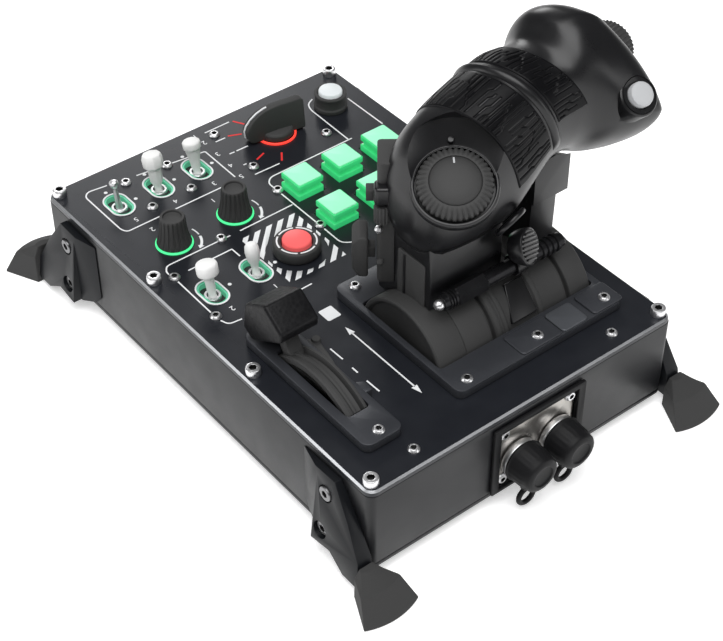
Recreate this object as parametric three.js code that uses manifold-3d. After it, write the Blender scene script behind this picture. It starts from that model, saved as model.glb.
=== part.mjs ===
// Desk throttle quadrant for flight simulation: a control box with a switch panel, a side axis
// lever and a hand throttle. Millimetres, +Z up, +Y forwards (away from the user), +X to the
// user's right. The origin is on the table, under the middle of the box.
import * as THREE from 'three';
import { mergeVertices } from 'three/addons/utils/BufferGeometryUtils.js';
import Module from 'manifold-3d';

const wasm = await Module();
wasm.setup();

// ---- driving dimensions ----
const BOX_W = 178; // along X
const BOX_L = 257; // along Y
const BOX_H = 48.2; // from the underside to the top of the panel
const TABLE = -54.3; // table level below the top of the panel
const WALL = 3;
const PLATE = 3; // panel thickness
const GAP = 0.3; // running gap between neighbouring pieces
const ROUND = 16; // sides of a small round piece

const PIVOT_Y = 65.3; // throttle and side lever both swing about lines parallel to X here
const DRUM = { x0: -71, x1: 20.5, z: -7.3, r: 29 };
const THROTTLE_BEZEL = { x0: -75, x1: 24.2, y0: 20.5, y1: 110.1, h: 5 };
const THROTTLE_SLOT = { x0: -71.6, x1: 21.1, y0: 37.3, y1: 93.3 };
const LEVER = { x0: 59.7, x1: 70.6, z: -29, r: 41, lean: -31 };
const LEVER_BEZEL = { x0: 55.3, x1: 76, y0: 20.5, y1: 110, h: 5 };
const LEVER_SLOT = { x0: 59, x1: 71.3, y0: 39.4, y1: 91.2 };

const TOGGLES = [[41.8, -16.4], [67, -16.3], [19.2, -98.4], [42.4, -98.4], [65.5, -98.6]];
const ENCODERS = [[24.9, -57.2], [60.7, -57.1]];
const SELECTOR = [-30, -98];
const ROUND_BUTTON = [-66.5, -99];
const EMERGENCY = [18, -16];
const SQUARE_X = [-13.4, -38.4, -63.6];
const SQUARE_Y = [-53.2, -25];
const SQUARE = 15.5;
const BOARD_TOP = -5.2; // tops of the switch bodies under the panel

// ---- materials ----
const finish = (color, roughness, metalness = 0) =>
  new THREE.MeshStandardMaterial({ color, roughness, metalness });
const ANODISED = [0x2b2e33, 0.45, 0.6];
const BLACK_PAINT = [0x1a1b1d, 0.5, 0.3];
const PLASTIC = [0x1c1d1f, 0.5];
const RUBBER = [0x111112, 0.85];
const STEEL = [0x9a9894, 0.35, 1];
const WHITE = [0xe8e8e6, 0.4];
const GREEN_LENS = [0x8ff0c0, 0.3];
const RED_LENS = [0xff7a78, 0.3];

// ---- solids ----
function solid(geometry) {
  const g = geometry.clone();
  g.deleteAttribute('normal');
  g.deleteAttribute('uv');
  const m = mergeVertices(g, 1e-4);
  const tris = m.index ? m.index.array : Uint32Array.from({ length: m.attributes.position.count }, (_, i) => i);
  return new wasm.Manifold(new wasm.Mesh({
    numProp: 3,
    vertProperties: new Float32Array(m.attributes.position.array),
    triVerts: new Uint32Array(tris),
  }));
}

function geometryOf(manifold) {
  const mesh = manifold.getMesh();
  const g = new THREE.BufferGeometry();
  g.setAttribute('position', new THREE.BufferAttribute(new Float32Array(mesh.vertProperties), 3));
  g.setIndex(new THREE.BufferAttribute(new Uint32Array(mesh.triVerts), 1));
  g.computeVertexNormals();
  return g;
}

const join = (first, ...others) => others.reduce((sum, s) => sum.add(s), first);
const cut = (first, ...others) => others.reduce((rest, s) => rest.subtract(s), first);

function block(x0, x1, y0, y1, z0, z1) {
  const g = new THREE.BoxGeometry(x1 - x0, y1 - y0, z1 - z0);
  g.translate((x0 + x1) / 2, (y0 + y1) / 2, (z0 + z1) / 2);
  return solid(g);
}

function outline(points) {
  return new THREE.Shape(points.map(([a, b]) => new THREE.Vector2(a, b)));
}

function roundedRectangle(x0, x1, y0, y1, r) {
  const s = new THREE.Shape();
  s.moveTo(x0 + r, y0);
  s.lineTo(x1 - r, y0).absarc(x1 - r, y0 + r, r, -Math.PI / 2, 0);
  s.lineTo(x1, y1 - r).absarc(x1 - r, y1 - r, r, 0, Math.PI / 2);
  s.lineTo(x0 + r, y1).absarc(x0 + r, y1 - r, r, Math.PI / 2, Math.PI);
  s.lineTo(x0, y0 + r).absarc(x0 + r, y0 + r, r, Math.PI, 1.5 * Math.PI);
  return s;
}

function upright(shape, z0, z1, curveSegments = 4) {
  const g = new THREE.ExtrudeGeometry(shape, { depth: z1 - z0, bevelEnabled: false, curveSegments });
  g.translate(0, 0, z0);
  return solid(g);
}

// An outline drawn in (y, z), swept from x0 to x1.
function sideways(shape, x0, x1, curveSegments = 8) {
  const g = new THREE.ExtrudeGeometry(shape, { depth: x1 - x0, bevelEnabled: false, curveSegments });
  const axes = new THREE.Matrix4().makeBasis(
    new THREE.Vector3(0, 1, 0), new THREE.Vector3(0, 0, 1), new THREE.Vector3(1, 0, 0));
  g.applyMatrix4(axes);
  g.translate(x0, 0, 0);
  return solid(g);
}

// A turned piece: profile of [radius, height] about the line through `at` along `axis`.
function turned(profile, at, axis = [0, 0, 1], sides = ROUND) {
  const g = new THREE.LatheGeometry(profile.map(([r, h]) => new THREE.Vector2(r, h)), sides);
  const up = new THREE.Vector3(...axis).normalize();
  g.applyQuaternion(new THREE.Quaternion().setFromUnitVectors(new THREE.Vector3(0, 1, 0), up));
  g.translate(...at);
  return solid(g);
}

const disc = (r, h0, h1, at, axis, sides) =>
  turned([[0, h0], [r, h0], [r, h1], [0, h1]], at, axis, sides);

// ---- grip form: one long closed skin through upright sections ----
// x, lowest z, highest z, rear y, front y, turn about Z in degrees, then how full the
// upper front and lower front quarters are: 2 is an ellipse, 1 a straight line, more is squarer
const GRIP_SECTIONS = [
  [17, 60, 84, 50, 70, 0, 2.3, 2.3], [13, 50, 97, 44, 77, 0, 2.3, 2.3], [5, 45.5, 106, 39, 82, 0, 2.3, 2.3],
  [-8, 44.5, 113, 36, 84.5, 0, 2.3, 2.3], [-20, 45, 117.5, 34.5, 85, 0, 2.3, 2.3],
  [-31, 48, 120.5, 33.5, 84.5, 0, 2.3, 2.3], [-42, 59, 122, 33, 83.5, 0, 2.3, 2.3],
  [-52, 68, 121, 34, 82, 0, 2.3, 2.3], [-61, 69, 122.5, 34, 82, 3, 2.3, 2.3],
  [-69, 65, 130, 29.5, 84, 6, 2, 2.2], [-78, 60, 132, 26.5, 91, 9, 1.5, 1.7],
  [-87, 58.5, 129, 27, 96, 11, 1.35, 1.5], [-94, 61, 121, 31, 96, 13, 1.35, 1.5],
  [-96.5, 70, 111, 40, 87, 13, 1.5, 1.6],
];
const GRIP_SIDES = 28;
const REAR_FULLNESS = 2.3;

function gripSkin(inset) {
  const positions = [];
  const last = GRIP_SECTIONS.length - 1;
  GRIP_SECTIONS.forEach(([x, z0, z1, y0, y1, turn, upper, lower], row) => {
    const shift = row === 0 ? -inset : row === last ? inset : 0;
    const yaw = THREE.MathUtils.degToRad(turn);
    for (let i = 0; i < GRIP_SIDES; i++) {
      const a = (i / GRIP_SIDES) * 2 * Math.PI;
      const front = Math.sin(a) > 0 ? upper : lower;
      const fullness = Math.cos(a) > 0 ? front : REAR_FULLNESS;
      const bend = (v) => Math.sign(v) * Math.abs(v) ** (2 / fullness);
      const across = ((y1 - y0) / 2 - inset) * bend(Math.cos(a));
      const up = ((z1 - z0) / 2 - inset) * bend(Math.sin(a));
      positions.push(
        x + shift - across * Math.sin(yaw), (y0 + y1) / 2 + across * Math.cos(yaw), (z0 + z1) / 2 + up);
    }
  });
  const faces = [];
  const at = (row, i) => row * GRIP_SIDES + (i % GRIP_SIDES);
  for (let row = 0; row < last; row++) {
    for (let i = 0; i < GRIP_SIDES; i++) {
      faces.push(at(row, i), at(row + 1, i), at(row, i + 1));
      faces.push(at(row, i + 1), at(row + 1, i), at(row + 1, i + 1));
    }
  }
  for (const row of [0, last]) {
    const [x, z0, z1, y0, y1] = GRIP_SECTIONS[row];
    const hub = positions.length / 3;
    positions.push(x + (row ? inset : -inset), (y0 + y1) / 2, (z0 + z1) / 2);
    for (let i = 0; i < GRIP_SIDES; i++) {
      faces.push(hub, at(row, row ? i + 1 : i), at(row, row ? i : i + 1));
    }
  }
  const g = new THREE.BufferGeometry();
  g.setAttribute('position', new THREE.Float32BufferAttribute(positions, 3));
  g.setIndex(faces);
  return solid(g);
}

const DIAL_AXIS = new THREE.Vector3(0.298, 0.376, 0.877).normalize().toArray();
const DIAL_AT = [2.5, 77.2, 89.2];
const DIAL_R = 17.8;
const END_BUTTON_AT = [-89.1, 92.4, 102.6];
const END_BUTTON_AXIS = [0.05, 0.7, 0.71];
const WHEEL_AT = [-95.2, 61.1, 105.2];
const WHEEL_AXIS = [-0.97, -0.23, 0];
const SKIN_WALL = 2.6;
const SEAM_Z = 56; // height of the shell seam at x = 0
const SEAM_SLOPE = -0.17;

// Everything above (or below) the sloping seam plane, kept `clear` away from it.
function sideOfSeam(above, clear) {
  const z = (x) => SEAM_Z + SEAM_SLOPE * x + (above ? clear : -clear);
  const far = above ? 200 : 0;
  const points = [[-130, z(-130)], [40, z(40)], [40, far], [-130, far]];
  const s = outline(above ? points : points.reverse());
  const g = new THREE.ExtrudeGeometry(s, { depth: 140, bevelEnabled: false });
  g.rotateX(Math.PI / 2);
  g.translate(0, 130, 0);
  return solid(g);
}

function gripBody() {
  const outer = join(gripSkin(0),
    disc(DIAL_R + 1.6, -16, -1.5, DIAL_AT, DIAL_AXIS, 28),
    turned([[0, -27], [9.6, -27], [9.6, -2], [8.2, -0.6], [0, -0.6]], END_BUTTON_AT, END_BUTTON_AXIS));
  const hollow = cut(gripSkin(SKIN_WALL),
    disc(DIAL_R + 3, -9, 30, DIAL_AT, DIAL_AXIS, 28),
    disc(9, -9.2, 10, END_BUTTON_AT, END_BUTTON_AXIS),
    disc(14, -5, 20, WHEEL_AT, WHEEL_AXIS));
  return cut(outer, hollow,
    disc(DIAL_R + 0.6, -6.2, 30, DIAL_AT, DIAL_AXIS, 28),
    disc(6.2, -6.4, 10, END_BUTTON_AT, END_BUTTON_AXIS),
    disc(12.2, -2.2, 20, WHEEL_AT, WHEEL_AXIS));
}

// Rubber inlays lie on the skin between two slanting planes that cross the handle.
const PAD_AXIS = new THREE.Vector3(-1, -0.29, 0.35).normalize();
const PAD_SCALE = Math.hypot(1, 0.29, 0.35);

function pad(from, to, lowest) {
  const slab = new THREE.BoxGeometry(400, 400, (to - from) / PAD_SCALE);
  slab.applyQuaternion(new THREE.Quaternion().setFromUnitVectors(new THREE.Vector3(0, 0, 1), PAD_AXIS));
  slab.translate(...PAD_AXIS.clone().multiplyScalar((from + to) / 2 / PAD_SCALE).toArray());
  const skin = cut(gripSkin(-1.1), gripSkin(-GAP), disc(DIAL_R + 2.2, -20, 30, DIAL_AT, DIAL_AXIS, 28));
  return skin.intersect(solid(slab)).intersect(block(-130, 40, 0, 120, lowest, 160));
}

// ---- the assembly ----
const model = new THREE.Group();
const raised = new THREE.Group(); // lifts the panel frame so that the table is at z = 0
raised.position.z = -TABLE;
model.add(raised);

function add(name, manifold, look, position = [0, 0, 0]) {
  const mesh = new THREE.Mesh(geometryOf(manifold), finish(...look));
  mesh.name = name;
  mesh.position.set(...position);
  raised.add(mesh);
}

const FRONT = BOX_L / 2;
const SIDE = BOX_W / 2;
const BASE = 2.5;
const ENDS = [['front', 1], ['rear', -1]];
const SIDES = [['right', 1], ['left', -1]];
const SOCKETS = [['right', 4.8], ['left', -18]];
const SOCKET_Z = -31;

function buildBox() {
  const posts = [];
  for (const sx of [1, -1]) {
    for (const sy of [1, -1]) {
      const x = sx * (SIDE - 8);
      const y = sy * (FRONT - 8);
      posts.push(block(x - 6, x + 6, y - 6, y + 6, -BOX_H + BASE + GAP, -PLATE - GAP));
    }
  }
  const shell = upright(roundedRectangle(-SIDE, SIDE, -FRONT, FRONT, 4), -BOX_H + BASE + GAP, -PLATE - GAP);
  const inside = block(-SIDE + WALL, SIDE - WALL, -FRONT + WALL, FRONT - WALL, -60, 0);
  const doorway = block(-29.5, 17, FRONT - 5, FRONT + 5, -44, -8);
  add('housing', cut(join(cut(shell, inside), ...posts), doorway), BLACK_PAINT);
  add('base_plate', upright(roundedRectangle(-SIDE, SIDE, -FRONT, FRONT, 4), -BOX_H, -BOX_H + BASE), BLACK_PAINT);
}

function buildPanel() {
  const slots = [
    block(-73, 22.5, 33, 97.5, -5, 1),
    block(57.5, 73, 28, 103, -5, 1),
  ];
  for (const [x, y] of TOGGLES) slots.push(upright(roundedRectangle(x - 5.6, x + 5.6, y - 8.9, y + 8.9, 5.5), -5, 1, 4));
  for (const [x, y] of [...ENCODERS, SELECTOR]) slots.push(disc(4.6, -5, 1, [x, y, 0], [0, 0, 1], 16));
  for (const [x, y] of [ROUND_BUTTON, EMERGENCY]) slots.push(disc(5, -5, 1, [x, y, 0], [0, 0, 1], 16));
  const half = SQUARE / 2 + 0.5;
  for (const y of SQUARE_Y) {
    for (const x of SQUARE_X) slots.push(block(x - half, x + half, y - half, y + half, -5, 1));
  }
  const plate = upright(roundedRectangle(-SIDE, SIDE, -FRONT, FRONT, 5), -PLATE, 0);
  add('top_plate', cut(plate, ...slots), ANODISED);
}

function buildConnectors() {
  const frame = cut(
    block(-33, 21, FRONT + GAP, FRONT + 2.2, -46, -6),
    block(-29, 17, FRONT - 1, FRONT + 9, -44, -9));
  add('connector_frame', frame, RUBBER);
  const holes = SOCKETS.map(([, x]) => disc(8.4, -5, 5, [x, FRONT, SOCKET_Z], [0, 1, 0]));
  const plate = block(-28.7, 16.7, FRONT - 2.6, FRONT - 0.4, -43.7, -9.3);
  add('connector_plate', cut(plate, ...holes), STEEL);
  for (const [side, x] of SOCKETS) {
    const at = [x, FRONT, SOCKET_Z];
    const socket = turned(
      [[0, -12], [8, -12], [8, 0], [10, 0], [10, 3], [7.5, 3], [7.5, 8], [5.8, 8], [5.8, -6], [0, -6]], at, [0, 1, 0]);
    add(`socket_${side}`, socket, STEEL);
    const cap = turned(
      [[0, 13.2], [7.9, 13.2], [7.9, 3.6], [10, 3.6], [10, 12.6], [9.2, 13.6], [9.2, 16], [7.8, 17.4], [0, 17.4]],
      at, [0, 1, 0]);
    const ringAt = [x + 3, FRONT, SOCKET_Z - 15.4];
    const loop = join(disc(5.6, 9, 11.6, ringAt, [0, 1, 0], 16),
      block(x, x + 5, FRONT + 9, FRONT + 11.6, SOCKET_Z - 12, SOCKET_Z - 8));
    add(`dust_cap_${side}`, cut(join(cap, loop), disc(3.2, 7, 13, ringAt, [0, 1, 0], 12)), RUBBER);
  }
}

// Feet: splayed rubber fans, each on a bracket that clamps to a side wall.
const FOOT = { x: 93.5, y: 118, half: 25.7, inner: 14.6, outer: 34.4, ridge: 16.5, knee: 26.3 };
const FOOT_HEIGHTS = { front: [-43, -38.5], rear: [-38, -32] }; // knee and ridge levels

function fan(inner, outer, z0, z1, half = FOOT.half) {
  const a = THREE.MathUtils.degToRad(half);
  const s = new THREE.Shape();
  s.absarc(0, 0, outer, Math.PI / 2 - a, Math.PI / 2 + a);
  s.lineTo(-inner * Math.sin(a), inner * Math.cos(a));
  s.lineTo(inner * Math.sin(a), inner * Math.cos(a));
  return upright(s, z0, z1, 10);
}

function footPad(kneeZ, ridgeZ) {
  const a = THREE.MathUtils.degToRad(FOOT.half);
  const rings = [[TABLE, FOOT.outer, 1], [TABLE + 1.3, FOOT.outer, 1], [kneeZ, FOOT.knee, 0.96],
    [ridgeZ, FOOT.ridge, 0.55]];
  const steps = 8;
  const points = [];
  for (const [z, outer, squeeze] of rings) {
    for (let i = 0; i <= steps; i++) {
      const t = Math.PI / 2 + a - (2 * a * i) / steps;
      points.push([squeeze * outer * Math.cos(t), outer * Math.sin(t), z]);
    }
    const halfWidth = squeeze * FOOT.inner * Math.sin(a);
    points.push([halfWidth, FOOT.inner * Math.cos(a), z], [-halfWidth, FOOT.inner * Math.cos(a), z]);
  }
  const n = steps + 3;
  const faces = [];
  for (let row = 0; row < rings.length - 1; row++) {
    for (let i = 0; i < n; i++) {
      const j = (i + 1) % n;
      faces.push(row * n + i, row * n + n + i, row * n + j, row * n + j, row * n + n + i, row * n + n + j);
    }
  }
  for (let i = 1; i < n - 1; i++) {
    faces.push(0, i, i + 1);
    const top = (rings.length - 1) * n;
    faces.push(top, top + i + 1, top + i);
  }
  const g = new THREE.BufferGeometry();
  g.setAttribute('position', new THREE.Float32BufferAttribute(points.flat(), 3));
  g.setIndex(faces);
  return solid(g);
}

function footBracket() {
  const face = outline([[84, -6], [110, -5], [120.5, -20], [130, -37], [131.5, -50.5], [121, -50.5], [111, -44.5],
    [97, -46.5], [88, -43], [84, -38]]);
  const x0 = SIDE + GAP;
  const splay = new THREE.ExtrudeGeometry(outline([[x0, 0], [x0, -60], [99.5, -60], [93, -5], [93, 0]].reverse()),
    { depth: 80, bevelEnabled: false });
  splay.rotateX(Math.PI / 2);
  splay.translate(0, 150, 0);
  const taper = upright(outline([[x0, 83], [93.5, 98], [101, 98], [101, 140], [x0, 140]].reverse()), -60, 0);
  const screwHole = (y, z) => disc(3, -5, 30, [SIDE, y, z], X_AXIS, 14);
  const holes = [screwHole(104.7, -15.7), screwHole(103.5, -38)];
  return cut(sideways(face, x0, 101).intersect(solid(splay)).intersect(taper), ...holes,
    disc(4.4, 91.5, 130, [0, 104.7, -15.7], X_AXIS, 14), disc(4.4, 92.5, 130, [0, 103.5, -38], X_AXIS, 14));
}

function buildFeet() {
  const bracket = footBracket();
  const clearPad = fan(FOOT.inner - GAP, FOOT.outer + 1, -60, FOOT_HEIGHTS.rear[1] + GAP).translate([FOOT.x, FOOT.y, 0]);
  const shaped = keepLargest(cut(bracket, clearPad));
  for (const [end, ey] of ENDS) {
    const body = footPad(...FOOT_HEIGHTS[end]);
    for (const [side, sx] of SIDES) {
      const mirrored = (s) => (sx * ey < 0 ? s.scale([sx, ey, 1]) : s.rotate([0, 0, sx < 0 ? 180 : 0]));
      add(`foot_bracket_${end}_${side}`, mirrored(shaped), PLASTIC);
      add(`foot_pad_${end}_${side}`, mirrored(body.translate([FOOT.x, FOOT.y, 0])), RUBBER);
    }
  }
}

function buildBezels() {
  const bezel = (b, slot, wellX, wellY) => {
    const top = upright(roundedRectangle(b.x0, b.x1, b.y0, b.y1, 4), GAP, b.h);
    const well = block(slot.x0 - wellX, slot.x1 + wellX, slot.y0 - wellY, slot.y1 + wellY, -1, 3);
    const opening = upright(roundedRectangle(slot.x0, slot.x1, slot.y0, slot.y1, 2), -1, 9, 3);
    return cut(top, well, opening);
  };
  add('throttle_bezel', bezel(THROTTLE_BEZEL, THROTTLE_SLOT, 0.6, 3.5), ANODISED);
  add('lever_bezel', bezel(LEVER_BEZEL, LEVER_SLOT, 1, 7), ANODISED);
}

const X_AXIS = [1, 0, 0];
const AXLE_R = 3;
const CRADLE_TOP = -PLATE - GAP;

function cradle(x0, x1, z) {
  const cheek = outline([[PIVOT_Y - 12, -BOX_H + BASE + GAP], [PIVOT_Y + 12, -BOX_H + BASE + GAP],
    [PIVOT_Y + 7, Math.min(z + 6, CRADLE_TOP)], [PIVOT_Y - 7, Math.min(z + 6, CRADLE_TOP)]]);
  return cut(sideways(cheek, x0, x1), disc(AXLE_R + GAP, -5, 200, [x0, PIVOT_Y, z], X_AXIS));
}

function buildThrottleBase() {
  const at = [0, PIVOT_Y, DRUM.z];
  add('throttle_cradle_right', cradle(DRUM.x1 + 1, DRUM.x1 + 5, DRUM.z), STEEL);
  add('throttle_cradle_left', cradle(DRUM.x0 - 5, DRUM.x0 - 1, DRUM.z), STEEL);
  add('throttle_axle', disc(AXLE_R, DRUM.x0 - 6, DRUM.x1 + 6, at, X_AXIS), STEEL);
  const groove = (x) => [[DRUM.r, x + 2], [DRUM.r - 3, x + 2], [DRUM.r - 3, x - 2], [DRUM.r, x - 2]];
  const profile = [
    [AXLE_R + GAP, DRUM.x0], [AXLE_R + GAP, DRUM.x1], [DRUM.r - 2, DRUM.x1], [DRUM.r, DRUM.x1 - 1],
    ...groove(-12.8), ...groove(-55.5), [DRUM.r, DRUM.x0 + 1], [DRUM.r - 2, DRUM.x0], [AXLE_R + GAP, DRUM.x0],
  ];
  add('throttle_drum', turned(profile.reverse(), at, X_AXIS, 40), PLASTIC);
}

const ROD = { y: 80, z: 28.5, r: 3.6, x0: -61, x1: 13 };

function buildNeck() {
  const overDrum = disc(DRUM.r + GAP, -100, 100, [0, PIVOT_Y, DRUM.z], X_AXIS, 48);
  const roomForRod = disc(ROD.r + 0.6, -100, 100, [0, ROD.y, ROD.z], X_AXIS);
  const skin = gripSkin(-GAP);
  const front = outline([[38.5, 12], [73.5, 12], [74.5, 34], [73, 60], [40, 60], [37, 40]]);
  const neck = cut(sideways(front, -30, 12), overDrum, skin, roomForRod);
  add('throttle_neck', keepLargest(neck), PLASTIC);
  const leg = join(
    sideways(outline([[43, 10], [70, 10], [71, 55], [42, 55]]), -65, -50),
    sideways(outline([[41, 48], [72, 48], [72, 82], [41, 82]]), -71, -50));
  add('throttle_leg', keepLargest(cut(leg, overDrum, gripSkin(-1.1 - GAP), roomForRod)), PLASTIC);
}

function keepLargest(manifold) {
  const parts = manifold.decompose();
  return parts.reduce((best, p) => (p.volume() > best.volume() ? p : best));
}

function buildGrip() {
  const body = gripBody();
  add('grip_upper_shell', keepLargest(body.intersect(sideOfSeam(true, GAP / 2))), PLASTIC);
  add('grip_lower_shell', keepLargest(body.intersect(sideOfSeam(false, GAP / 2))), PLASTIC);
  add('grip_pad_inner', keepLargest(pad(30, 54.5, 70)), RUBBER);
  add('grip_pad_outer', keepLargest(pad(62, 79.5, 84)), RUBBER);
  add('grip_dial', turned([[0, -5.6], [DIAL_R - 0.4, -5.6], [DIAL_R, -5], [DIAL_R, 0], [15, 2.4],
    [11, 3.2], [10.2, 4.6], [6, 6.2], [0, 6.8]], DIAL_AT, DIAL_AXIS, 36), PLASTIC);
  add('end_wheel', turned([[0, -1.8], [11.6, -1.8], [11.6, 9.3], [10.4, 10.5], [0, 10.5]], WHEEL_AT, WHEEL_AXIS, 28),
    PLASTIC);
  add('end_button', turned([[0, -4.2], [5.7, -4.2], [5.7, 1.6], [4.6, 2.6], [0, 2.9]], END_BUTTON_AT,
    END_BUTTON_AXIS), STEEL);
}

// Thumb controls stand on the inner rear corner of the neck and face right and to the rear.
const THUMB_FACING = [0.784, -0.62];
const THUMB_AT = [9.5, 40.5];

function thumbBlock(out0, out1, across0, across1, z0, z1, round) {
  const s = roundedRectangle(out0, out1, across0, across1, round);
  const g = new THREE.ExtrudeGeometry(s, { depth: z1 - z0, bevelEnabled: false, curveSegments: 3 });
  g.rotateZ(Math.atan2(THUMB_FACING[1], THUMB_FACING[0]));
  g.translate(THUMB_AT[0], THUMB_AT[1], z0);
  return solid(g);
}

function buildThumbControls() {
  const taken = [gripSkin(-GAP), sideways(outline([[36.7, 10], [74.8, 10], [74.8, 62], [36.7, 62]]), -31, 12.3)];
  const module_ = thumbBlock(-8, 4, -9, 9, 22, 88, 2);
  add('thumb_module', keepLargest(cut(module_, ...taken)), PLASTIC);
  const hat = (tip, half, z0, z1) => join(thumbBlock(8, tip, -half, half, z0, z1, 2.5),
    thumbBlock(4.6, 9, -3, 3, (z0 + z1) / 2 - 3, (z0 + z1) / 2 + 3, 1));
  add('thumb_hat_upper', hat(19, 8, 53, 79), PLASTIC);
  add('thumb_hat_lower', hat(15, 7, 23, 45), PLASTIC);
}

function buildFingerLift() {
  add('lift_rod', disc(ROD.r, ROD.x0, ROD.x1, [0, ROD.y, ROD.z], X_AXIS), STEEL);
  const ring = disc(ROD.r + 2.6, -38, -31, [0, ROD.y, ROD.z], X_AXIS);
  const wing = sideways(outline([[81, 33], [84, 31], [89, 33], [91.5, 42], [89.5, 50], [86.5, 54], [85.5, 48], [84, 41],
    [80.5, 35.5]]), -45, -14);
  const bore = disc(ROD.r + GAP, -60, -20, [0, ROD.y, ROD.z], X_AXIS);
  add('finger_paddle', cut(join(ring, wing), bore, gripSkin(-GAP)), PLASTIC);
}

// Side axis lever: an arc-shaped cover on two spokes, and an arm that carries the knob.
function buildSideLever() {
  const mid = (LEVER.x0 + LEVER.x1) / 2;
  const at = [0, PIVOT_Y, LEVER.z];
  add('lever_cradle_right', cradle(LEVER.x1 + 0.8, LEVER.x1 + 4, LEVER.z), STEEL);
  add('lever_axle', disc(AXLE_R, LEVER.x0 - 6, LEVER.x1 + 5, at, X_AXIS), STEEL);
  const half = THREE.MathUtils.degToRad(68);
  const s = new THREE.Shape();
  s.absarc(0, 0, LEVER.r, Math.PI / 2 - half, Math.PI / 2 + half, false);
  s.absarc(0, 0, LEVER.r - 3, Math.PI / 2 + half, Math.PI / 2 - half, true);
  const cover = sideways(s, LEVER.x0, LEVER.x1, 28);
  const spokes = [-60, -20, 20, 60].map((deg) =>
    sideways(outline([[-3, 0], [3, 0], [3, LEVER.r - 1.5], [-3, LEVER.r - 1.5]]), mid - 3, mid + 3)
      .rotate([deg, 0, 0]));
  const hub = disc(9, LEVER.x0 + 0.5, LEVER.x1, [0, 0, 0], X_AXIS);
  const arm = sideways(outline([[-3, 30], [3, 30], [3, 53], [-3, 53]]), mid - 3.6, mid + 3.6);
  const bore = disc(AXLE_R + GAP, 40, 90, [0, 0, 0], X_AXIS);
  const swing = (m) => m.rotate([-LEVER.lean, 0, 0]).translate(at);
  add('side_lever', cut(join(cover, hub, arm, ...spokes), bore).rotate([-LEVER.lean, 0, 0])
    .translate(at), PLASTIC);
  const knob = sideways(outline([[-15, 50], [12, 50], [15, 54], [9, 68], [-9, 68], [-18, 57]]), mid - 10.5, mid + 10.5);
  const socket = sideways(outline([[-3.3, 30], [3.3, 30], [3.3, 53.3], [-3.3, 53.3]]), mid - 3.9, mid + 3.9);
  add('side_lever_knob', swing(cut(knob, socket)), PLASTIC);
}

function buildToggles() {
  const caps = [
    [[2.4, 4], [3.4, 7], [3.6, 13], [2.6, 16.2], [0, 17.4]],
    [[2.2, 5], [2.4, 8], [5, 11], [5.2, 15], [3.6, 18], [0, 19]],
    [[2.4, 6], [4.2, 11], [4.6, 18], [3.6, 20], [0, 20]],
    [[2.2, 5], [2.4, 12], [4.8, 13.4], [5.2, 19], [4, 21.4], [0, 21.8]],
    [[1.6, 5], [1.9, 13], [1.4, 15], [0, 15.4]],
  ];
  TOGGLES.forEach(([x, y], i) => {
    const profile = [[0, -2.4], [1.8, -1.8], [2.4, 0], [1.8, 1.8], ...caps[i]];
    const bat = turned(profile, [0, 0, 0], [0, 0, 1], 12).rotate([12, 0, 0]);
    add(`toggle_${i + 1}`, bat, i === 4 ? STEEL : WHITE, [x, y, -2.4]);
  });
}

function buildKnobs() {
  ENCODERS.forEach(([x, y], i) => {
    const profile = [[0, -4.6], [3, -4.6], [3, 1], [8.4, 1], [8.6, 4], [6.6, 6], [5.9, 16], [4.6, 16.6], [4.4, 15.4],
      [0, 15.4]];
    add(`encoder_${i + 1}`, turned(profile, [0, 0, 0], [0, 0, 1], 20), PLASTIC, [x, y, 0]);
  });
  const base = turned([[0, -4.6], [3, -4.6], [3, 0.8], [9, 0.8], [9, 5], [0, 5]], [0, 0, 0], [0, 0, 1], 24);
  const fin = sideways(outline([[-15, 2], [17.5, 2], [17.5, 8], [14, 13.5], [7, 17.4], [-2, 18.6], [-15, 18.6]]), -3.8, 3.8);
  const turnedToThird = join(base, fin).rotate([0, 0, -99]);
  add('selector_knob', turnedToThird, PLASTIC, [...SELECTOR, 0]);
}

function buildButtons() {
  const half = SQUARE / 2;
  SQUARE_Y.forEach((y, row) => SQUARE_X.forEach((x, column) => {
    const cap = join(block(-half, half, -half, half, -2, 5), block(-half + 0.8, half - 0.8, -half + 0.8, half - 0.8, 4, 9));
    add(`square_button_${row * SQUARE_X.length + column + 1}`, cap, GREEN_LENS, [x, y, 0]);
  }));
  const ring = (inner, outer, h) => turned(
    [[inner, GAP], [outer, GAP], [outer, h - 1], [outer - 1, h], [inner, h], [inner, GAP]], [0, 0, 0], [0, 0, 1], 20);
  const cap = (r, top) => turned([[0, -3], [4, -3], [4, 1.5], [r, 1.5], [r, top - 0.8], [r - 0.8, top], [0, top]],
    [0, 0, 0], [0, 0, 1], 20);
  add('round_button_ring', ring(6.7, 8.8, 9.4), PLASTIC, [...ROUND_BUTTON, 0]);
  add('round_button', cap(6.3, 11), WHITE, [...ROUND_BUTTON, 0]);
  add('emergency_button_ring', ring(7.6, 11.6, 6), PLASTIC, [...EMERGENCY, 0]);
  add('emergency_button', cap(7.2, 7.6), RED_LENS, [...EMERGENCY, 0]);
}

// One circuit board under the panel, with the bodies of all the switches on it.
function buildSwitchBoard() {
  const board = block(-80, 80, -113, -2, -16, -14.4);
  const bodies = [];
  for (const [x, y] of TOGGLES) bodies.push(block(x - 5, x + 5, y - 6.5, y + 6.5, -15, BOARD_TOP));
  const turning = [...ENCODERS, SELECTOR, ROUND_BUTTON, EMERGENCY];
  for (const [x, y] of turning) bodies.push(block(x - 6, x + 6, y - 6, y + 6, -15, BOARD_TOP));
  for (const y of SQUARE_Y) {
    for (const x of SQUARE_X) bodies.push(block(x - 6, x + 6, y - 6, y + 6, -15, BOARD_TOP));
  }
  add('switch_board', join(board, ...bodies), [0x16341f, 0.6]);
}

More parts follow.
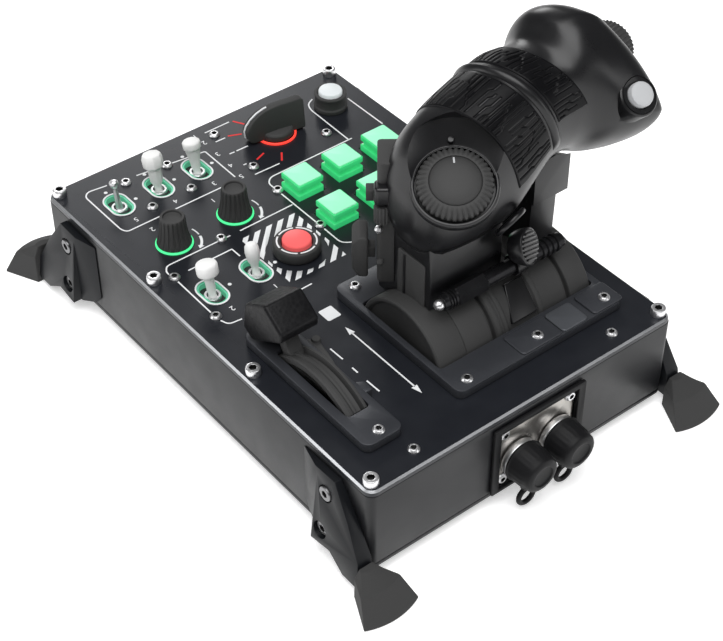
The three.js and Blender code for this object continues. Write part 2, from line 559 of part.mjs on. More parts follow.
buildBox();
buildPanel();
buildConnectors();
buildFeet();
buildBezels();
buildThrottleBase();
buildNeck();
buildGrip();
buildThumbControls();
buildFingerLift();
buildSideLever();
buildToggles();
buildKnobs();
buildButtons();
buildSwitchBoard();

export default model;
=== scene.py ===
"""Looks of a desk throttle quadrant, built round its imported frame.

Lengths inside the classes are millimetres in the panel frame: the top of the panel is z = 0, +Y
points forwards and +X to the right. Finished pieces are in metres in the shared frame.
"""
import logging
import math
import random
from contextlib import contextmanager
from dataclasses import dataclass, field
from enum import Enum
from typing import Callable, Iterator, Sequence

import bpy
from mathutils import Matrix, Vector


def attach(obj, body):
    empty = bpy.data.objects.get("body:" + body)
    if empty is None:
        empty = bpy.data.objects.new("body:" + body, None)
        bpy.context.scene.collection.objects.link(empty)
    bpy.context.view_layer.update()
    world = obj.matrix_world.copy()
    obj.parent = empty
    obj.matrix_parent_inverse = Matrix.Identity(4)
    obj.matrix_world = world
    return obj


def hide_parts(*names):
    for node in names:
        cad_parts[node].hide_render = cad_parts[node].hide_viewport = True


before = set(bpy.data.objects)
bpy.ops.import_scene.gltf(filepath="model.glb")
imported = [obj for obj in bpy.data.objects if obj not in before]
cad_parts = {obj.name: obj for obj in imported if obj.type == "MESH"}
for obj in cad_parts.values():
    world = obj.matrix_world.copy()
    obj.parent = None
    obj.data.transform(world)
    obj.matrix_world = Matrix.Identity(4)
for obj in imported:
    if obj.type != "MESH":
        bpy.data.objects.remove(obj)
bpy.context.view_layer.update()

MM = 0.001
LIFT = 54.3  # table to the top of the panel
TAU = 2 * math.pi
HALF_LENGTH = 128.5
PIVOT = Vector((0.0, 65.3, -7.3))
UP = (0.0, 0.0, 1.0)
FORWARD = (0.0, 1.0, 0.0)
RIGHT = (1.0, 0.0, 0.0)
SMOOTH = math.radians(32)

Point2 = tuple[float, float]
Point3 = tuple[float, float, float]

logging.basicConfig(level=logging.INFO, format="%(message)s")
log = logging.getLogger("throttle")


# ---------------------------------------------------------------- finishes
class Texture(Enum):
    """The kind of fine relief that a surface has."""

    GRAIN = "grain"
    BRUSHED = "brushed"
    LEATHERY = "leathery"


@dataclass(frozen=True)
class Finish:
    """How one surface looks: two tones, gloss, fine relief and any light it gives off.

    Gloss is the roughness from and to. Patch and grain are the sizes of the coarse and the fine pattern and
    depth is that of the relief, all in millimetres. Stretch draws both patterns out along an axis, and shine
    is the level of plain reflection.
    """

    name: str
    slot: str
    tone: Point3
    second_tone: Point3
    gloss: tuple[float, float]
    metal: float = 0.0
    grain: float = 0.35
    patch: float = 14.0
    stretch: Point3 = (1.0, 1.0, 1.0)
    relief: float = 0.12
    depth: float = 0.05
    coat: float = 0.0
    shine: float = 0.14
    glow: float = 0.0
    glow_tone: Point3 = (0.0, 0.0, 0.0)
    texture: Texture = Texture.GRAIN

    def material(self) -> bpy.types.Material:
        """Makes the node material once and hands it out after that.

        Returns:
            The material of this finish.
        """
        made = bpy.data.materials.get(self.name)
        if made:
            return made
        made = bpy.data.materials.new(self.name)
        made.use_nodes = True
        nodes, links = made.node_tree.nodes, made.node_tree.links
        shader = nodes["Principled BSDF"]
        shader.inputs["Metallic"].default_value = self.metal
        shader.inputs["Specular IOR Level"].default_value = self.shine
        shader.inputs["Coat Weight"].default_value = self.coat
        shader.inputs["Coat Roughness"].default_value = 0.25
        coordinates = nodes.new("ShaderNodeTexCoord")
        mapping = nodes.new("ShaderNodeMapping")
        mapping.inputs["Scale"].default_value = self.stretch
        links.new(coordinates.outputs["Object"], mapping.inputs["Vector"])
        fine = self._fine_pattern(nodes, links, mapping)
        coarse = nodes.new("ShaderNodeTexNoise")
        coarse.inputs["Scale"].default_value = 1 / (self.patch * MM)
        coarse.inputs["Detail"].default_value = 4.0
        links.new(mapping.outputs["Vector"], coarse.inputs["Vector"])
        tones = nodes.new("ShaderNodeMix")
        tones.data_type = "RGBA"
        tones.inputs["A"].default_value = (*self.tone, 1.0)
        tones.inputs["B"].default_value = (*self.second_tone, 1.0)
        both = nodes.new("ShaderNodeMath")
        both.operation = "MULTIPLY_ADD"
        both.inputs[1].default_value = 0.45
        links.new(fine, both.inputs[0])
        softened = nodes.new("ShaderNodeMath")
        softened.operation = "MULTIPLY"
        softened.inputs[1].default_value = 0.55
        links.new(coarse.outputs["Fac"], softened.inputs[0])
        links.new(softened.outputs[0], both.inputs[2])
        links.new(both.outputs[0], tones.inputs["Factor"])
        links.new(tones.outputs["Result"], shader.inputs["Base Color"])
        span = nodes.new("ShaderNodeMapRange")
        span.inputs["From Min"].default_value = 0.3
        span.inputs["From Max"].default_value = 0.7
        span.inputs["To Min"].default_value = self.gloss[0]
        span.inputs["To Max"].default_value = self.gloss[1]
        links.new(both.outputs[0], span.inputs["Value"])
        links.new(span.outputs["Result"], shader.inputs["Roughness"])
        bump = nodes.new("ShaderNodeBump")
        bump.inputs["Strength"].default_value = self.relief
        bump.inputs["Distance"].default_value = self.depth * MM
        links.new(fine, bump.inputs["Height"])
        links.new(bump.outputs["Normal"], shader.inputs["Normal"])
        if self.glow:
            lit = nodes.new("ShaderNodeMix")
            lit.data_type = "RGBA"
            lit.inputs["A"].default_value = (*self.glow_tone, 1.0)
            lit.inputs["B"].default_value = (*(0.8 * c for c in self.glow_tone), 1.0)
            links.new(coarse.outputs["Fac"], lit.inputs["Factor"])
            links.new(lit.outputs["Result"], shader.inputs["Emission Color"])
            shader.inputs["Emission Strength"].default_value = self.glow
        return made

    def _fine_pattern(self, nodes: bpy.types.Nodes, links: bpy.types.NodeLinks,
                      mapping: bpy.types.Node) -> bpy.types.NodeSocket:
        """Adds the fine relief pattern.

        Args:
            nodes: The material's nodes.
            links: The material's links.
            mapping: The node that gives the place on the piece.

        Returns:
            The socket that carries the pattern, from 0 to 1.
        """
        if self.texture is Texture.LEATHERY:
            cells = nodes.new("ShaderNodeTexVoronoi")
            cells.inputs["Scale"].default_value = 1 / (self.grain * MM)
            links.new(mapping.outputs["Vector"], cells.inputs["Vector"])
            return cells.outputs["Distance"]
        noise = nodes.new("ShaderNodeTexNoise")
        noise.inputs["Scale"].default_value = 1 / (self.grain * MM)
        noise.inputs["Detail"].default_value = 1.0 if self.texture is Texture.BRUSHED else 3.0
        links.new(mapping.outputs["Vector"], noise.inputs["Vector"])
        return noise.outputs["Fac"]


BLACK_COAT = Finish("black_powder_coat", "painted_case", (0.006, 0.0063, 0.0075), (0.011, 0.0115, 0.013),
                    (0.34, 0.48), grain=0.5, relief=0.2, depth=0.08, shine=0.33)
ANODISED = Finish("anodised_panel", "panel", (0.009, 0.010, 0.0135), (0.018, 0.020, 0.0255), (0.27, 0.37),
                  metal=0.15, shine=0.4, grain=0.3, relief=0.22, depth=0.05)
BEZEL_COAT = Finish("bezel_anodised", "bezel", (0.034, 0.036, 0.042), (0.056, 0.059, 0.067), (0.3, 0.42),
                    metal=0.35, shine=0.4, grain=0.35, relief=0.15, depth=0.04)
GREY_PLATE = Finish("grey_anodised", "bezel", (0.075, 0.08, 0.09), (0.10, 0.105, 0.115), (0.32, 0.46),
                    metal=0.4, grain=0.3, relief=0.12, depth=0.03)
BARE_EDGE = Finish("bare_chamfer", "panel", (0.62, 0.63, 0.65), (0.48, 0.49, 0.51), (0.28, 0.42), metal=1.0,
                   grain=0.2, relief=0.1, depth=0.03)
MOULDED = Finish("moulded_black", "moulded_black", (0.003, 0.003, 0.0034), (0.007, 0.007, 0.0078),
                 (0.24, 0.36), shine=0.09, grain=0.4, relief=0.15, depth=0.05)
GRIP_BLACK = Finish("grip_soft_black", "grip_black", (0.004, 0.004, 0.0045), (0.0085, 0.0085, 0.0098),
                    (0.26, 0.38), grain=0.45, shine=0.42, relief=0.14, depth=0.05)
PAD_RUBBER = Finish("pad_rubber", "soft_rubber", (0.002, 0.002, 0.0024), (0.005, 0.005, 0.006), (0.3, 0.42),
                    grain=0.3, shine=0.12, relief=0.2, depth=0.05)
CAP_RUBBER = Finish("cap_rubber", "soft_rubber", (0.006, 0.006, 0.0065), (0.011, 0.011, 0.012), (0.4, 0.55),
                    grain=0.5, relief=0.2, depth=0.06)
KNOB_RUBBER = Finish("knob_pebbled", "moulded_black", (0.0035, 0.0035, 0.004), (0.010, 0.010, 0.011),
                     (0.34, 0.46), grain=1.9, relief=0.6, depth=0.12, texture=Texture.LEATHERY)
FOOT_RUBBER = Finish("foot_rubber", "foot_rubber", (0.0035, 0.0038, 0.0045), (0.008, 0.0085, 0.0098),
                     (0.3, 0.42), shine=0.07, grain=0.6, relief=0.2, depth=0.06, texture=Texture.LEATHERY)
BRACKET_COAT = Finish("bracket_coat", "moulded_black", (0.005, 0.0054, 0.0065), (0.010, 0.011, 0.013),
                      (0.28, 0.4), grain=0.45, relief=0.2, depth=0.06)
STAINLESS = Finish("brushed_stainless", "stainless", (0.36, 0.345, 0.32), (0.52, 0.50, 0.47), (0.26, 0.42),
                   metal=1.0, grain=0.25, stretch=(0.06, 1.0, 1.0), relief=0.25, depth=0.03,
                   texture=Texture.BRUSHED)
SCREW_STEEL = Finish("screw_steel", "machined_steel", (0.70, 0.70, 0.71), (0.82, 0.82, 0.83), (0.3, 0.42),
                     metal=1.0, grain=0.3, relief=0.15, depth=0.03)
DARK_SCREW = Finish("black_screw", "black_steel", (0.16, 0.16, 0.165), (0.24, 0.24, 0.245), (0.24, 0.38),
                    metal=0.9, grain=0.3, relief=0.12, depth=0.03)
ROD_STEEL = Finish("black_rod", "black_steel", (0.012, 0.012, 0.013), (0.022, 0.022, 0.024), (0.24, 0.38),
                   metal=0.5, grain=0.3, relief=0.12, depth=0.03)
# Painted shade: a near-black finish for the inside of the screw sockets, standing in for the shade in the hex
# hole.
SOCKET_PAINTED_SHADE = Finish("screw_socket", "black_steel", (0.004, 0.004, 0.004), (0.009, 0.009, 0.009), (0.5, 0.65),
                     grain=0.3, relief=0.1, depth=0.02)
SILVER = Finish("silver_cap", "silver_cap", (0.17, 0.18, 0.195), (0.22, 0.23, 0.245), (0.35, 0.48), metal=0.2,
                grain=0.25, relief=0.08, depth=0.03)
WHITE_CAP = Finish("white_cap", "white_cap", (0.62, 0.62, 0.62), (0.54, 0.54, 0.54), (0.34, 0.48), grain=0.4,
                   relief=0.08, depth=0.04)
PRINT_WHITE = Finish("white_print", "white_cap", (0.82, 0.83, 0.84), (0.70, 0.71, 0.72), (0.5, 0.65),
                     grain=0.2, relief=0.1, depth=0.02)
PRINT_RED = Finish("red_print", "red_lens", (0.55, 0.03, 0.03), (0.40, 0.02, 0.02), (0.5, 0.65), grain=0.2,
                   relief=0.1, depth=0.02, glow=0.35, glow_tone=(0.9, 0.04, 0.04))
GREEN_TOP = Finish("mint_button_top", "green_lens", (0.34, 0.78, 0.52), (0.26, 0.68, 0.43), (0.25, 0.38),
                   patch=9.0, grain=0.6, relief=0.06, depth=0.03, glow=0.28, glow_tone=(0.30, 0.95, 0.58))
GREEN_SKIRT = Finish("clear_green_skirt", "green_lens", (0.05, 0.50, 0.18), (0.02, 0.28, 0.09), (0.1, 0.22),
                     patch=4.0, relief=0.05, coat=0.6, glow=0.5, glow_tone=(0.05, 0.80, 0.25))
GREEN_TRAY = Finish("green_tray", "green_lens", (0.20, 0.62, 0.42), (0.06, 0.34, 0.20), (0.14, 0.28),
                    patch=3.0, relief=0.1, metal=0.3, glow=0.25, glow_tone=(0.20, 0.85, 0.50))
GREEN_LIGHT = Finish("green_light", "green_lens", (0.10, 0.60, 0.25), (0.05, 0.42, 0.16), (0.3, 0.4),
                     patch=3.0, glow=0.9, glow_tone=(0.05, 0.85, 0.28))
RED_LIGHT = Finish("red_light", "red_lens", (0.8, 0.06, 0.04), (0.6, 0.03, 0.02), (0.3, 0.4), patch=3.0,
                   glow=1.1, glow_tone=(1.0, 0.05, 0.035))
RED_CAP = Finish("pink_red_cap", "red_lens", (0.72, 0.12, 0.12), (0.62, 0.08, 0.08), (0.28, 0.4), relief=0.05,
                 glow=0.35, glow_tone=(1.0, 0.15, 0.15))
BUTTON_WHITE = Finish("round_white_cap", "round_white", (0.70, 0.73, 0.74), (0.62, 0.66, 0.67), (0.3, 0.42),
                      relief=0.06, glow=0.06, glow_tone=(0.85, 0.92, 0.95))
BOARD_GREEN = Finish("circuit_board", "circuit_board", (0.01, 0.05, 0.02), (0.02, 0.08, 0.03), (0.4, 0.55),
                     grain=1.2, relief=0.2)


# ---------------------------------------------------------------- bench work
def only(piece: bpy.types.Object) -> None:
    """Selects one piece and nothing else, and makes it active.

    Args:
        piece: The piece to work on.
    """
    if bpy.context.object and bpy.context.object.mode != "OBJECT":
        bpy.ops.object.mode_set(mode="OBJECT")
    bpy.ops.object.select_all(action="DESELECT")
    piece.select_set(True)
    bpy.context.view_layer.objects.active = piece


@contextmanager
def editing(piece: bpy.types.Object) -> Iterator[None]:
    """Opens a piece in edit mode with all of it selected, and closes it again.

    Args:
        piece: The piece to edit.

    Yields:
        Nothing; the piece is open meanwhile.
    """
    only(piece)
    bpy.ops.object.mode_set(mode="EDIT")
    bpy.ops.mesh.select_all(action="SELECT")
    yield
    bpy.ops.object.mode_set(mode="OBJECT")


def move_vertices(piece: bpy.types.Object, rule: Callable[[Vector], Vector]) -> bpy.types.Object:
    """Moves each vertex by a rule, in millimetres.

    Args:
        piece: The piece to reshape.
        rule: Gives the new place of a vertex from its old one.

    Returns:
        The same piece.
    """
    for vertex in piece.data.vertices:
        vertex.co = rule(vertex.co / MM) * MM
    piece.data.update()
    return piece


def apply_modifier(piece: bpy.types.Object, kind: str, **settings: object) -> bpy.types.Object:
    """Adds a modifier, sets it and applies it.

    Args:
        piece: The piece to change.
        kind: The kind of modifier.
        **settings: Its settings.

    Returns:
        The same piece.
    """
    only(piece)
    modifier = piece.modifiers.new(kind.lower(), kind)
    for key, value in settings.items():
        setattr(modifier, key, value)
    bpy.ops.object.modifier_apply(modifier=modifier.name)
    return piece


def smooth(piece: bpy.types.Object, angle: float = SMOOTH) -> bpy.types.Object:
    """Shades a piece smooth up to an angle.

    Args:
        piece: The piece to shade.
        angle: Edges sharper than this stay crisp.

    Returns:
        The same piece.
    """
    only(piece)
    bpy.ops.object.shade_smooth_by_angle(angle=angle)
    return piece


def soften(piece: bpy.types.Object, edge: float, steps: int = 2, angle: float = 30) -> bpy.types.Object:
    """Rounds every sharp edge of a piece.

    Args:
        piece: The piece to round.
        edge: Width of the rounding.
        steps: Faces across the rounding.
        angle: Only edges sharper than this many degrees are rounded.

    Returns:
        The same piece, shaded smooth.
    """
    if edge:
        apply_modifier(piece, "BEVEL", width=edge * MM, segments=steps, limit_method="ANGLE",
                       angle_limit=math.radians(angle), use_clamp_overlap=True)
    return smooth(piece)


def settle(piece: bpy.types.Object, place: Matrix | None = None) -> bpy.types.Object:
    """Moves a piece's mesh to its place, so that the object itself stays at the origin.

    Args:
        piece: A piece made about the origin, in millimetres times MM.
        place: Where it goes in the panel frame; None leaves it where it is.

    Returns:
        The same piece in the shared frame.
    """
    lift = Matrix.Translation((0, 0, LIFT * MM))
    piece.data.transform(lift @ (place or Matrix.Identity(4)))
    piece.data.update()
    return piece


def place_of(at: Sequence[float], axis: Sequence[float] = UP, turn: float = 0.0) -> Matrix:
    """A place in the panel frame: an origin and the direction of the piece's own Z axis.

    Args:
        at: The origin in millimetres.
        axis: The direction of the piece's Z axis.
        turn: A turn about that axis first, in degrees.

    Returns:
        The matrix, in metres.
    """
    swing = Vector(UP).rotation_difference(Vector(axis).normalized())
    return (Matrix.Translation(Vector(at) * MM) @ swing.to_matrix().to_4x4()
            @ Matrix.Rotation(math.radians(turn), 4, "Z"))


SIDEWAYS = Matrix(((0, 0, 1, 0), (1, 0, 0, 0), (0, 1, 0, 0), (0, 0, 0, 1)))  # drawn (y, z), thick along X


def slab(name: str, outline: Sequence[Point2], low: float, high: float, edge: float = 0.3, steps: int = 2,
         place: Matrix | None = None) -> bpy.types.Object:
    """A blank cut to an outline, thickened and rounded along its edges.

    Args:
        name: The piece's name.
        outline: Corners in order.
        low: Where it starts along its own Z.
        high: Where it ends.
        edge: Width of the edge rounding.
        steps: Faces across the rounding.
        place: Where it goes in the panel frame.

    Returns:
        The finished piece.
    """
    bpy.ops.mesh.primitive_circle_add(vertices=len(outline), radius=MM, fill_type="NGON")
    piece = bpy.context.object
    piece.name = name
    for vertex, (a, b) in zip(piece.data.vertices, outline):
        vertex.co = Vector((a, b, low)) * MM
    with editing(piece):
        bpy.ops.mesh.extrude_region_move(TRANSFORM_OT_translate={"value": (0, 0, (high - low) * MM)})
        bpy.ops.mesh.select_all(action="SELECT")
        bpy.ops.mesh.normals_make_consistent(inside=False)
    soften(piece, edge, steps)
    return settle(piece, place)


def wire(name: str, points: Sequence[Sequence[float]]) -> bpy.types.Object:
    """An open chain of edges, the start of a spun piece.

    Args:
        name: The piece's name.
        points: Its points in millimetres.

    Returns:
        The chain.
    """
    mesh = bpy.data.meshes.new(name)
    mesh.from_pydata([Vector(p) * MM for p in points], [(i, i + 1) for i in range(len(points) - 1)], [])
    piece = bpy.data.objects.new(name, mesh)
    bpy.context.scene.collection.objects.link(piece)
    return piece


def turned(name: str, profile: Sequence[Point2], place: Matrix | None = None, steps: int = 48,
           edge: float = 0.0,
           shape: Callable[[float, float, float], float] | None = None) -> bpy.types.Object:
    """A turned piece: a profile spun about its own Z axis.

    Args:
        name: The piece's name.
        profile: Points of (radius, height).
        place: Where it goes in the panel frame.
        steps: Faces round it.
        edge: Width of the rounding on its sharp edges.
        shape: Gives a new radius from (radius, height, angle), for flutes, flats and sockets.

    Returns:
        The finished piece.
    """
    piece = wire(name, [(r, 0, h) for r, h in profile])
    with editing(piece):
        bpy.ops.mesh.spin(steps=steps, angle=TAU, center=(0, 0, 0), axis=(0, 0, 1))
        bpy.ops.mesh.select_all(action="SELECT")
        bpy.ops.mesh.remove_doubles(threshold=1e-6)
        bpy.ops.mesh.normals_make_consistent(inside=False)
    if shape:
        def reshape(v: Vector) -> Vector:
            """Gives a vertex the radius that the shape asks for."""
            r = math.hypot(v.x, v.y)
            if r < 1e-6:
                return v
            k = shape(r, v.z, math.atan2(v.y, v.x)) / r
            return Vector((v.x * k, v.y * k, v.z))
        move_vertices(piece, reshape)
    soften(piece, edge)
    return settle(piece, place)


def lofted(name: str, rows: Sequence[Sequence[Vector]], closed: bool = True, caps: bool = True,
           place: Matrix | None = None) -> bpy.types.Object:
    """A skin drawn through rows of points.

    Args:
        name: The piece's name.
        rows: Rows of points in millimetres, all of one length.
        closed: Whether each row closes on itself.
        caps: Whether the first and last row are filled.
        place: Where it goes in the panel frame.

    Returns:
        The piece, smooth.
    """
    n = len(rows[0])
    last = n if closed else n - 1
    faces = [(r * n + i, r * n + (i + 1) % n, (r + 1) * n + (i + 1) % n, (r + 1) * n + i)
             for r in range(len(rows) - 1) for i in range(last)]
    if caps:
        faces += [tuple(range(n)), tuple(range((len(rows) - 1) * n, len(rows) * n))]
    mesh = bpy.data.meshes.new(name)
    mesh.from_pydata([Vector(p) * MM for row in rows for p in row], [], faces)
    piece = bpy.data.objects.new(name, mesh)
    bpy.context.scene.collection.objects.link(piece)
    with editing(piece):
        bpy.ops.mesh.normals_make_consistent(inside=False)
    smooth(piece)
    return settle(piece, place)


def copy_of(piece: bpy.types.Object, name: str, move: Matrix) -> bpy.types.Object:
    """A copy with its own mesh, moved to a new place in the shared frame.

    Args:
        piece: The piece to copy.
        name: The copy's name.
        move: The move, in metres.

    Returns:
        The copy.
    """
    copy = bpy.data.objects.new(name, piece.data.copy())
    bpy.context.scene.collection.objects.link(copy)
    copy.data.transform(move)
    return copy


def joined(name: str, pieces: Sequence[bpy.types.Object]) -> bpy.types.Object:
    """Makes one piece of several.

    Args:
        name: The piece's name.
        pieces: What goes into it.

    Returns:
        The joined piece.
    """
    only(pieces[0])
    for piece in pieces:
        piece.select_set(True)
    bpy.ops.object.join()
    pieces[0].name = name
    return pieces[0]


def cut_away(piece: bpy.types.Object, *tools: bpy.types.Object) -> bpy.types.Object:
    """Cuts tools out of a piece and throws the tools away.

    Args:
        piece: The piece to cut.
        *tools: Closed pieces to take away from it.

    Returns:
        The same piece.
    """
    for tool in tools:
        apply_modifier(piece, "BOOLEAN", operation="DIFFERENCE", object=tool, solver="EXACT")
        bpy.data.objects.remove(tool)
    return piece


def from_frame(node: str, name: str, edge: float = 0.4, steps: int = 2) -> bpy.types.Object:
    """A finer copy of a frame node: merged, its flats joined up and its edges rounded.

    Args:
        node: The frame node to copy.
        name: The piece's name.
        edge: Width of the edge rounding.
        steps: Faces across the rounding.

    Returns:
        The piece, in the shared frame.
    """
    piece = bpy.data.objects.new(name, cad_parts[node].data.copy())
    bpy.context.scene.collection.objects.link(piece)
    piece.data.materials.clear()
    with editing(piece):
        bpy.ops.mesh.remove_doubles(threshold=5e-6)
        bpy.ops.mesh.dissolve_limited(angle_limit=math.radians(1.0))
    return soften(piece, edge, steps)


def dress(piece: bpy.types.Object, finish: Finish, body: str = "base",
          replaces: Sequence[str] = ()) -> bpy.types.Object:
    """Gives a piece its finish and its body.

    Args:
        piece: The finished shape.
        finish: Its look; a piece with several keeps what it has if it already has materials.
        body: The body it rides on.
        replaces: Frame nodes it stands for.

    Returns:
        The same piece.
    """
    if not piece.data.materials:
        piece.data.materials.append(finish.material())
    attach(piece, body)
    if replaces:
        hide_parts(*replaces)
    log.info("%s: %d faces on %s", piece.name, len(piece.data.polygons), body)
    return piece


def rounded(x0: float, x1: float, y0: float, y1: float, r: float, steps: int = 6) -> list[Point2]:
    """Corners of a rounded rectangle.

    Args:
        x0: Left side.
        x1: Right side.
        y0: Near side.
        y1: Far side.
        r: Corner radius.
        steps: Points round each corner, less one.

    Returns:
        The points in order.
    """
    centres = [(x1 - r, y1 - r, 0), (x0 + r, y1 - r, 90), (x0 + r, y0 + r, 180), (x1 - r, y0 + r, 270)]
    return [(cx + r * math.cos(math.radians(a + 90 * i / steps)),
             cy + r * math.sin(math.radians(a + 90 * i / steps))) for cx, cy, a in centres
            for i in range(steps + 1)]


def arc(cx: float, cy: float, r: float, start: float, end: float, steps: int = 24) -> list[Point2]:
    """Points along an arc.

    Args:
        cx: Centre across.
        cy: Centre along.
        r: Radius.
        start: First angle in degrees.
        end: Last angle in degrees.
        steps: Number of pieces.

    Returns:
        The points in order.
    """
    angles = [math.radians(start + (end - start) * i / steps) for i in range(steps + 1)]
    return [(cx + r * math.cos(a), cy + r * math.sin(a)) for a in angles]


def ribbon(name: str, path: Sequence[Point2], width: float, low: float = 0.0, high: float = 0.06,
           place: Matrix | None = None, close: bool = False) -> bpy.types.Object:
    """A thin printed line along a path.

    Args:
        name: The piece's name.
        path: Points across the panel.
        width: Width of the line.
        low: Its underside.
        high: Its top.
        place: Where it goes in the panel frame.
        close: Whether it joins up with its start.

    Returns:
        The finished line.
    """
    points = [Vector(p) for p in path]
    n = len(points)
    sides = []
    for i, p in enumerate(points):
        before = points[i - 1] if i or close else None
        after = points[(i + 1) % n] if i < n - 1 or close else None
        a = (p - before).normalized() if before is not None else (after - p).normalized()
        b = (after - p).normalized() if after is not None else a
        normal = Vector((-a.y - b.y, a.x + b.x)).normalized()
        reach = width / 2 / max(0.3, normal.dot(Vector((-a.y, a.x))))
        sides.append((p + normal * reach, p - normal * reach))
    rows = [[Vector((*left, low)), Vector((*left, high)), Vector((*right, high)), Vector((*right, low))]
            for left, right in sides]
    if close:
        rows.append(rows[0])
    piece = lofted(name, rows, closed=True, caps=not close, place=place)
    with editing(piece):
        bpy.ops.mesh.remove_doubles(threshold=1e-7)
        bpy.ops.mesh.normals_make_consistent(inside=False)
    return piece


def filleted(points: Sequence[Point2], radius: float, steps: int = 6) -> list[Point2]:
    """Rounds the inner corners of a path.

    Args:
        points: The path's corners.
        radius: How far from a corner the rounding starts.
        steps: Pieces in each rounding.

    Returns:
        The rounded path.
    """
    path = [points[0]]
    for before, corner, after in zip(points, points[1:], points[2:]):
        c = Vector(corner)
        a = (Vector(before) - c)
        b = (Vector(after) - c)
        reach = min(radius, a.length / 2.01, b.length / 2.01)
        start, end = c + a.normalized() * reach, c + b.normalized() * reach
        for i in range(steps + 1):
            t = i / steps
            path.append(tuple(start * (1 - t) ** 2 + c * 2 * t * (1 - t) + end * t * t))
    path.append(points[-1])
    return path


def hexagon(across: float) -> Callable[[float], float]:
    """Radius of a hexagon at an angle.

    Args:
        across: Its width across flats.

    Returns:
        A function from angle to radius.
    """
    return lambda angle: across / 2 / math.cos((angle % (TAU / 6)) - TAU / 12)


# ---------------------------------------------------------------- fasteners
class Screw(Enum):
    """Sizes of hex socket screw: head radius, head height, socket width across flats."""

    M4_CAP = (3.5, 3.9, 3.2)
    M3_BUTTON = (2.85, 1.5, 2.4)
    BRACKET = (3.7, 3.0, 3.2)


@dataclass
class Fasteners:
    """Hex socket screws, each size modelled once and copied."""

    made: dict[Screw, bpy.types.Object] = field(default_factory=dict)

    def master(self, size: Screw) -> bpy.types.Object:
        """Models one screw about the origin.

        Args:
            size: Which size.

        Returns:
            The screw in the shared frame, standing on the panel at the middle.
        """
        if size not in self.made:
            r, h, flats = size.value
            corner = flats / 2 / math.cos(math.pi / 6)
            around = hexagon(flats)
            dome = 0.72 * r if size is Screw.M3_BUTTON else 0.93 * r
            profile = [(0, h - 0.6 * h), (corner, h - 0.55 * h), (corner, h), (dome, h - 0.02),
                       (r, h * (0.3 if size is Screw.M3_BUTTON else 0.88)), (r, 0.02), (0, 0.02)]
            self.made[size] = turned(
                f"screw_{size.name.lower()}", profile, steps=36, edge=0.08,
                shape=lambda q, z, a: around(a) if abs(q - corner) < 0.02 and z > 0.3 else q)
        return self.made[size]

    def paint_socket_shade(self, screw: bpy.types.Object, size: Screw) -> None:
        """Paints shade into a socket: its inside faces get a near-black finish that stands in for the shade
        in the hole.

        Args:
            screw: The screw, still upright at the middle of the panel.
            size: Its size.
        """
        screw.data.materials.append(SOCKET_PAINTED_SHADE.material())
        _, h, flats = size.value
        for face in screw.data.polygons:
            c = face.center
            inside = math.hypot(c.x, c.y) < flats * 0.585 * MM
            if inside and LIFT * MM + 0.1 * MM < c.z < (LIFT + h - 0.03) * MM:
                face.material_index = 1

    def fit(self, name: str, size: Screw, at: Sequence[float], axis: Sequence[float] = UP,
            finish: Finish = SCREW_STEEL, turn: float = 0.0, body: str = "base") -> None:
        """Puts one screw in.

        Args:
            name: The screw's name.
            size: Which size.
            at: Where its head sits.
            axis: Which way the head faces.
            finish: Its look.
            turn: How far round its socket is turned, in degrees.
            body: The body it rides on.
        """
        lift = Matrix.Translation((0, 0, LIFT * MM))
        move = lift @ place_of(at, axis, turn) @ lift.inverted()
        screw = copy_of(self.master(size), name, Matrix.Identity(4))
        screw.data.materials.append(finish.material())
        # Paints shade into the socket's inside faces.
        self.paint_socket_shade(screw, size)
        screw.data.transform(move)
        dress(screw, finish, body)

    def clear_away(self) -> None:
        """Removes the master screws once all copies are made."""
        for piece in self.made.values():
            bpy.data.objects.remove(piece)


# ---------------------------------------------------------------- box
@dataclass
class ControlBox:
    """The folded case, its lid, the panel plate with its bare chamfer, and their screws."""

    chamfer: float = 0.9
    corner_screws: Sequence[Point2] = ((84.3, 123.3), (-84.3, 123.3), (84.3, -123.3), (-84.3, -123.3),
                                       (84.0, 39.6), (84.0, -39.6), (-84.0, 39.6), (-84.0, -39.6))
    panel_screws: Sequence[Point2] = (
        (57.9, 119.4), (-58.4, 119.6), (53.4, -111.3), (29.2, -110.4), (-4.2, -116.7), (53.6, -86.8),
        (30.4, -87.0), (-4.3, -82.2), (-50.5, -81.9), (-2.4, -59.1), (-2.4, -24.2), (41.4, -45.7),
        (74.9, -36.0), (75.4, -1.5))

    def build(self, fasteners: Fasteners) -> None:
        """Builds and dresses the box.

        Args:
            fasteners: Where its screws come from.
        """
        dress(from_frame("housing", "case_shell", 0.8, 3), BLACK_COAT, replaces=["housing"])
        dress(from_frame("base_plate", "case_floor", 0.5), BLACK_COAT, replaces=["base_plate"])
        self.panel()
        for i, (x, y) in enumerate(self.corner_screws, 1):
            fasteners.fit(f"corner_screw_{i}", Screw.M4_CAP, (x, y, 0), turn=17 * i)
        for i, (x, y) in enumerate(self.panel_screws, 1):
            fasteners.fit(f"panel_screw_{i}", Screw.M3_BUTTON, (x, y, 0), turn=23 * i)

    def panel(self) -> None:
        """Copies the panel plate and cuts the bare chamfer along its outer edge."""
        plate = from_frame("top_plate", "panel_plate", 0)
        plate.data.materials.append(ANODISED.material())
        plate.data.materials.append(BARE_EDGE.material())
        mesh = plate.data
        bpy.context.tool_settings.mesh_select_mode = (False, True, False)
        top = LIFT * MM - 1e-5
        for part in (mesh.vertices, mesh.edges, mesh.polygons):
            part.foreach_set("select", [False] * len(part))
        for edge in mesh.edges:
            ends = [mesh.vertices[i].co for i in edge.vertices]
            edge.select = all(c.z > top and (abs(c.x) > 83.5 * MM or abs(c.y) > 123 * MM) for c in ends)
        only(plate)
        bpy.ops.object.mode_set(mode="EDIT")
        bpy.ops.mesh.bevel(offset=self.chamfer * MM, segments=1, affect="EDGES", material=1)
        bpy.ops.object.mode_set(mode="OBJECT")
        dress(plate, ANODISED, replaces=["top_plate"])


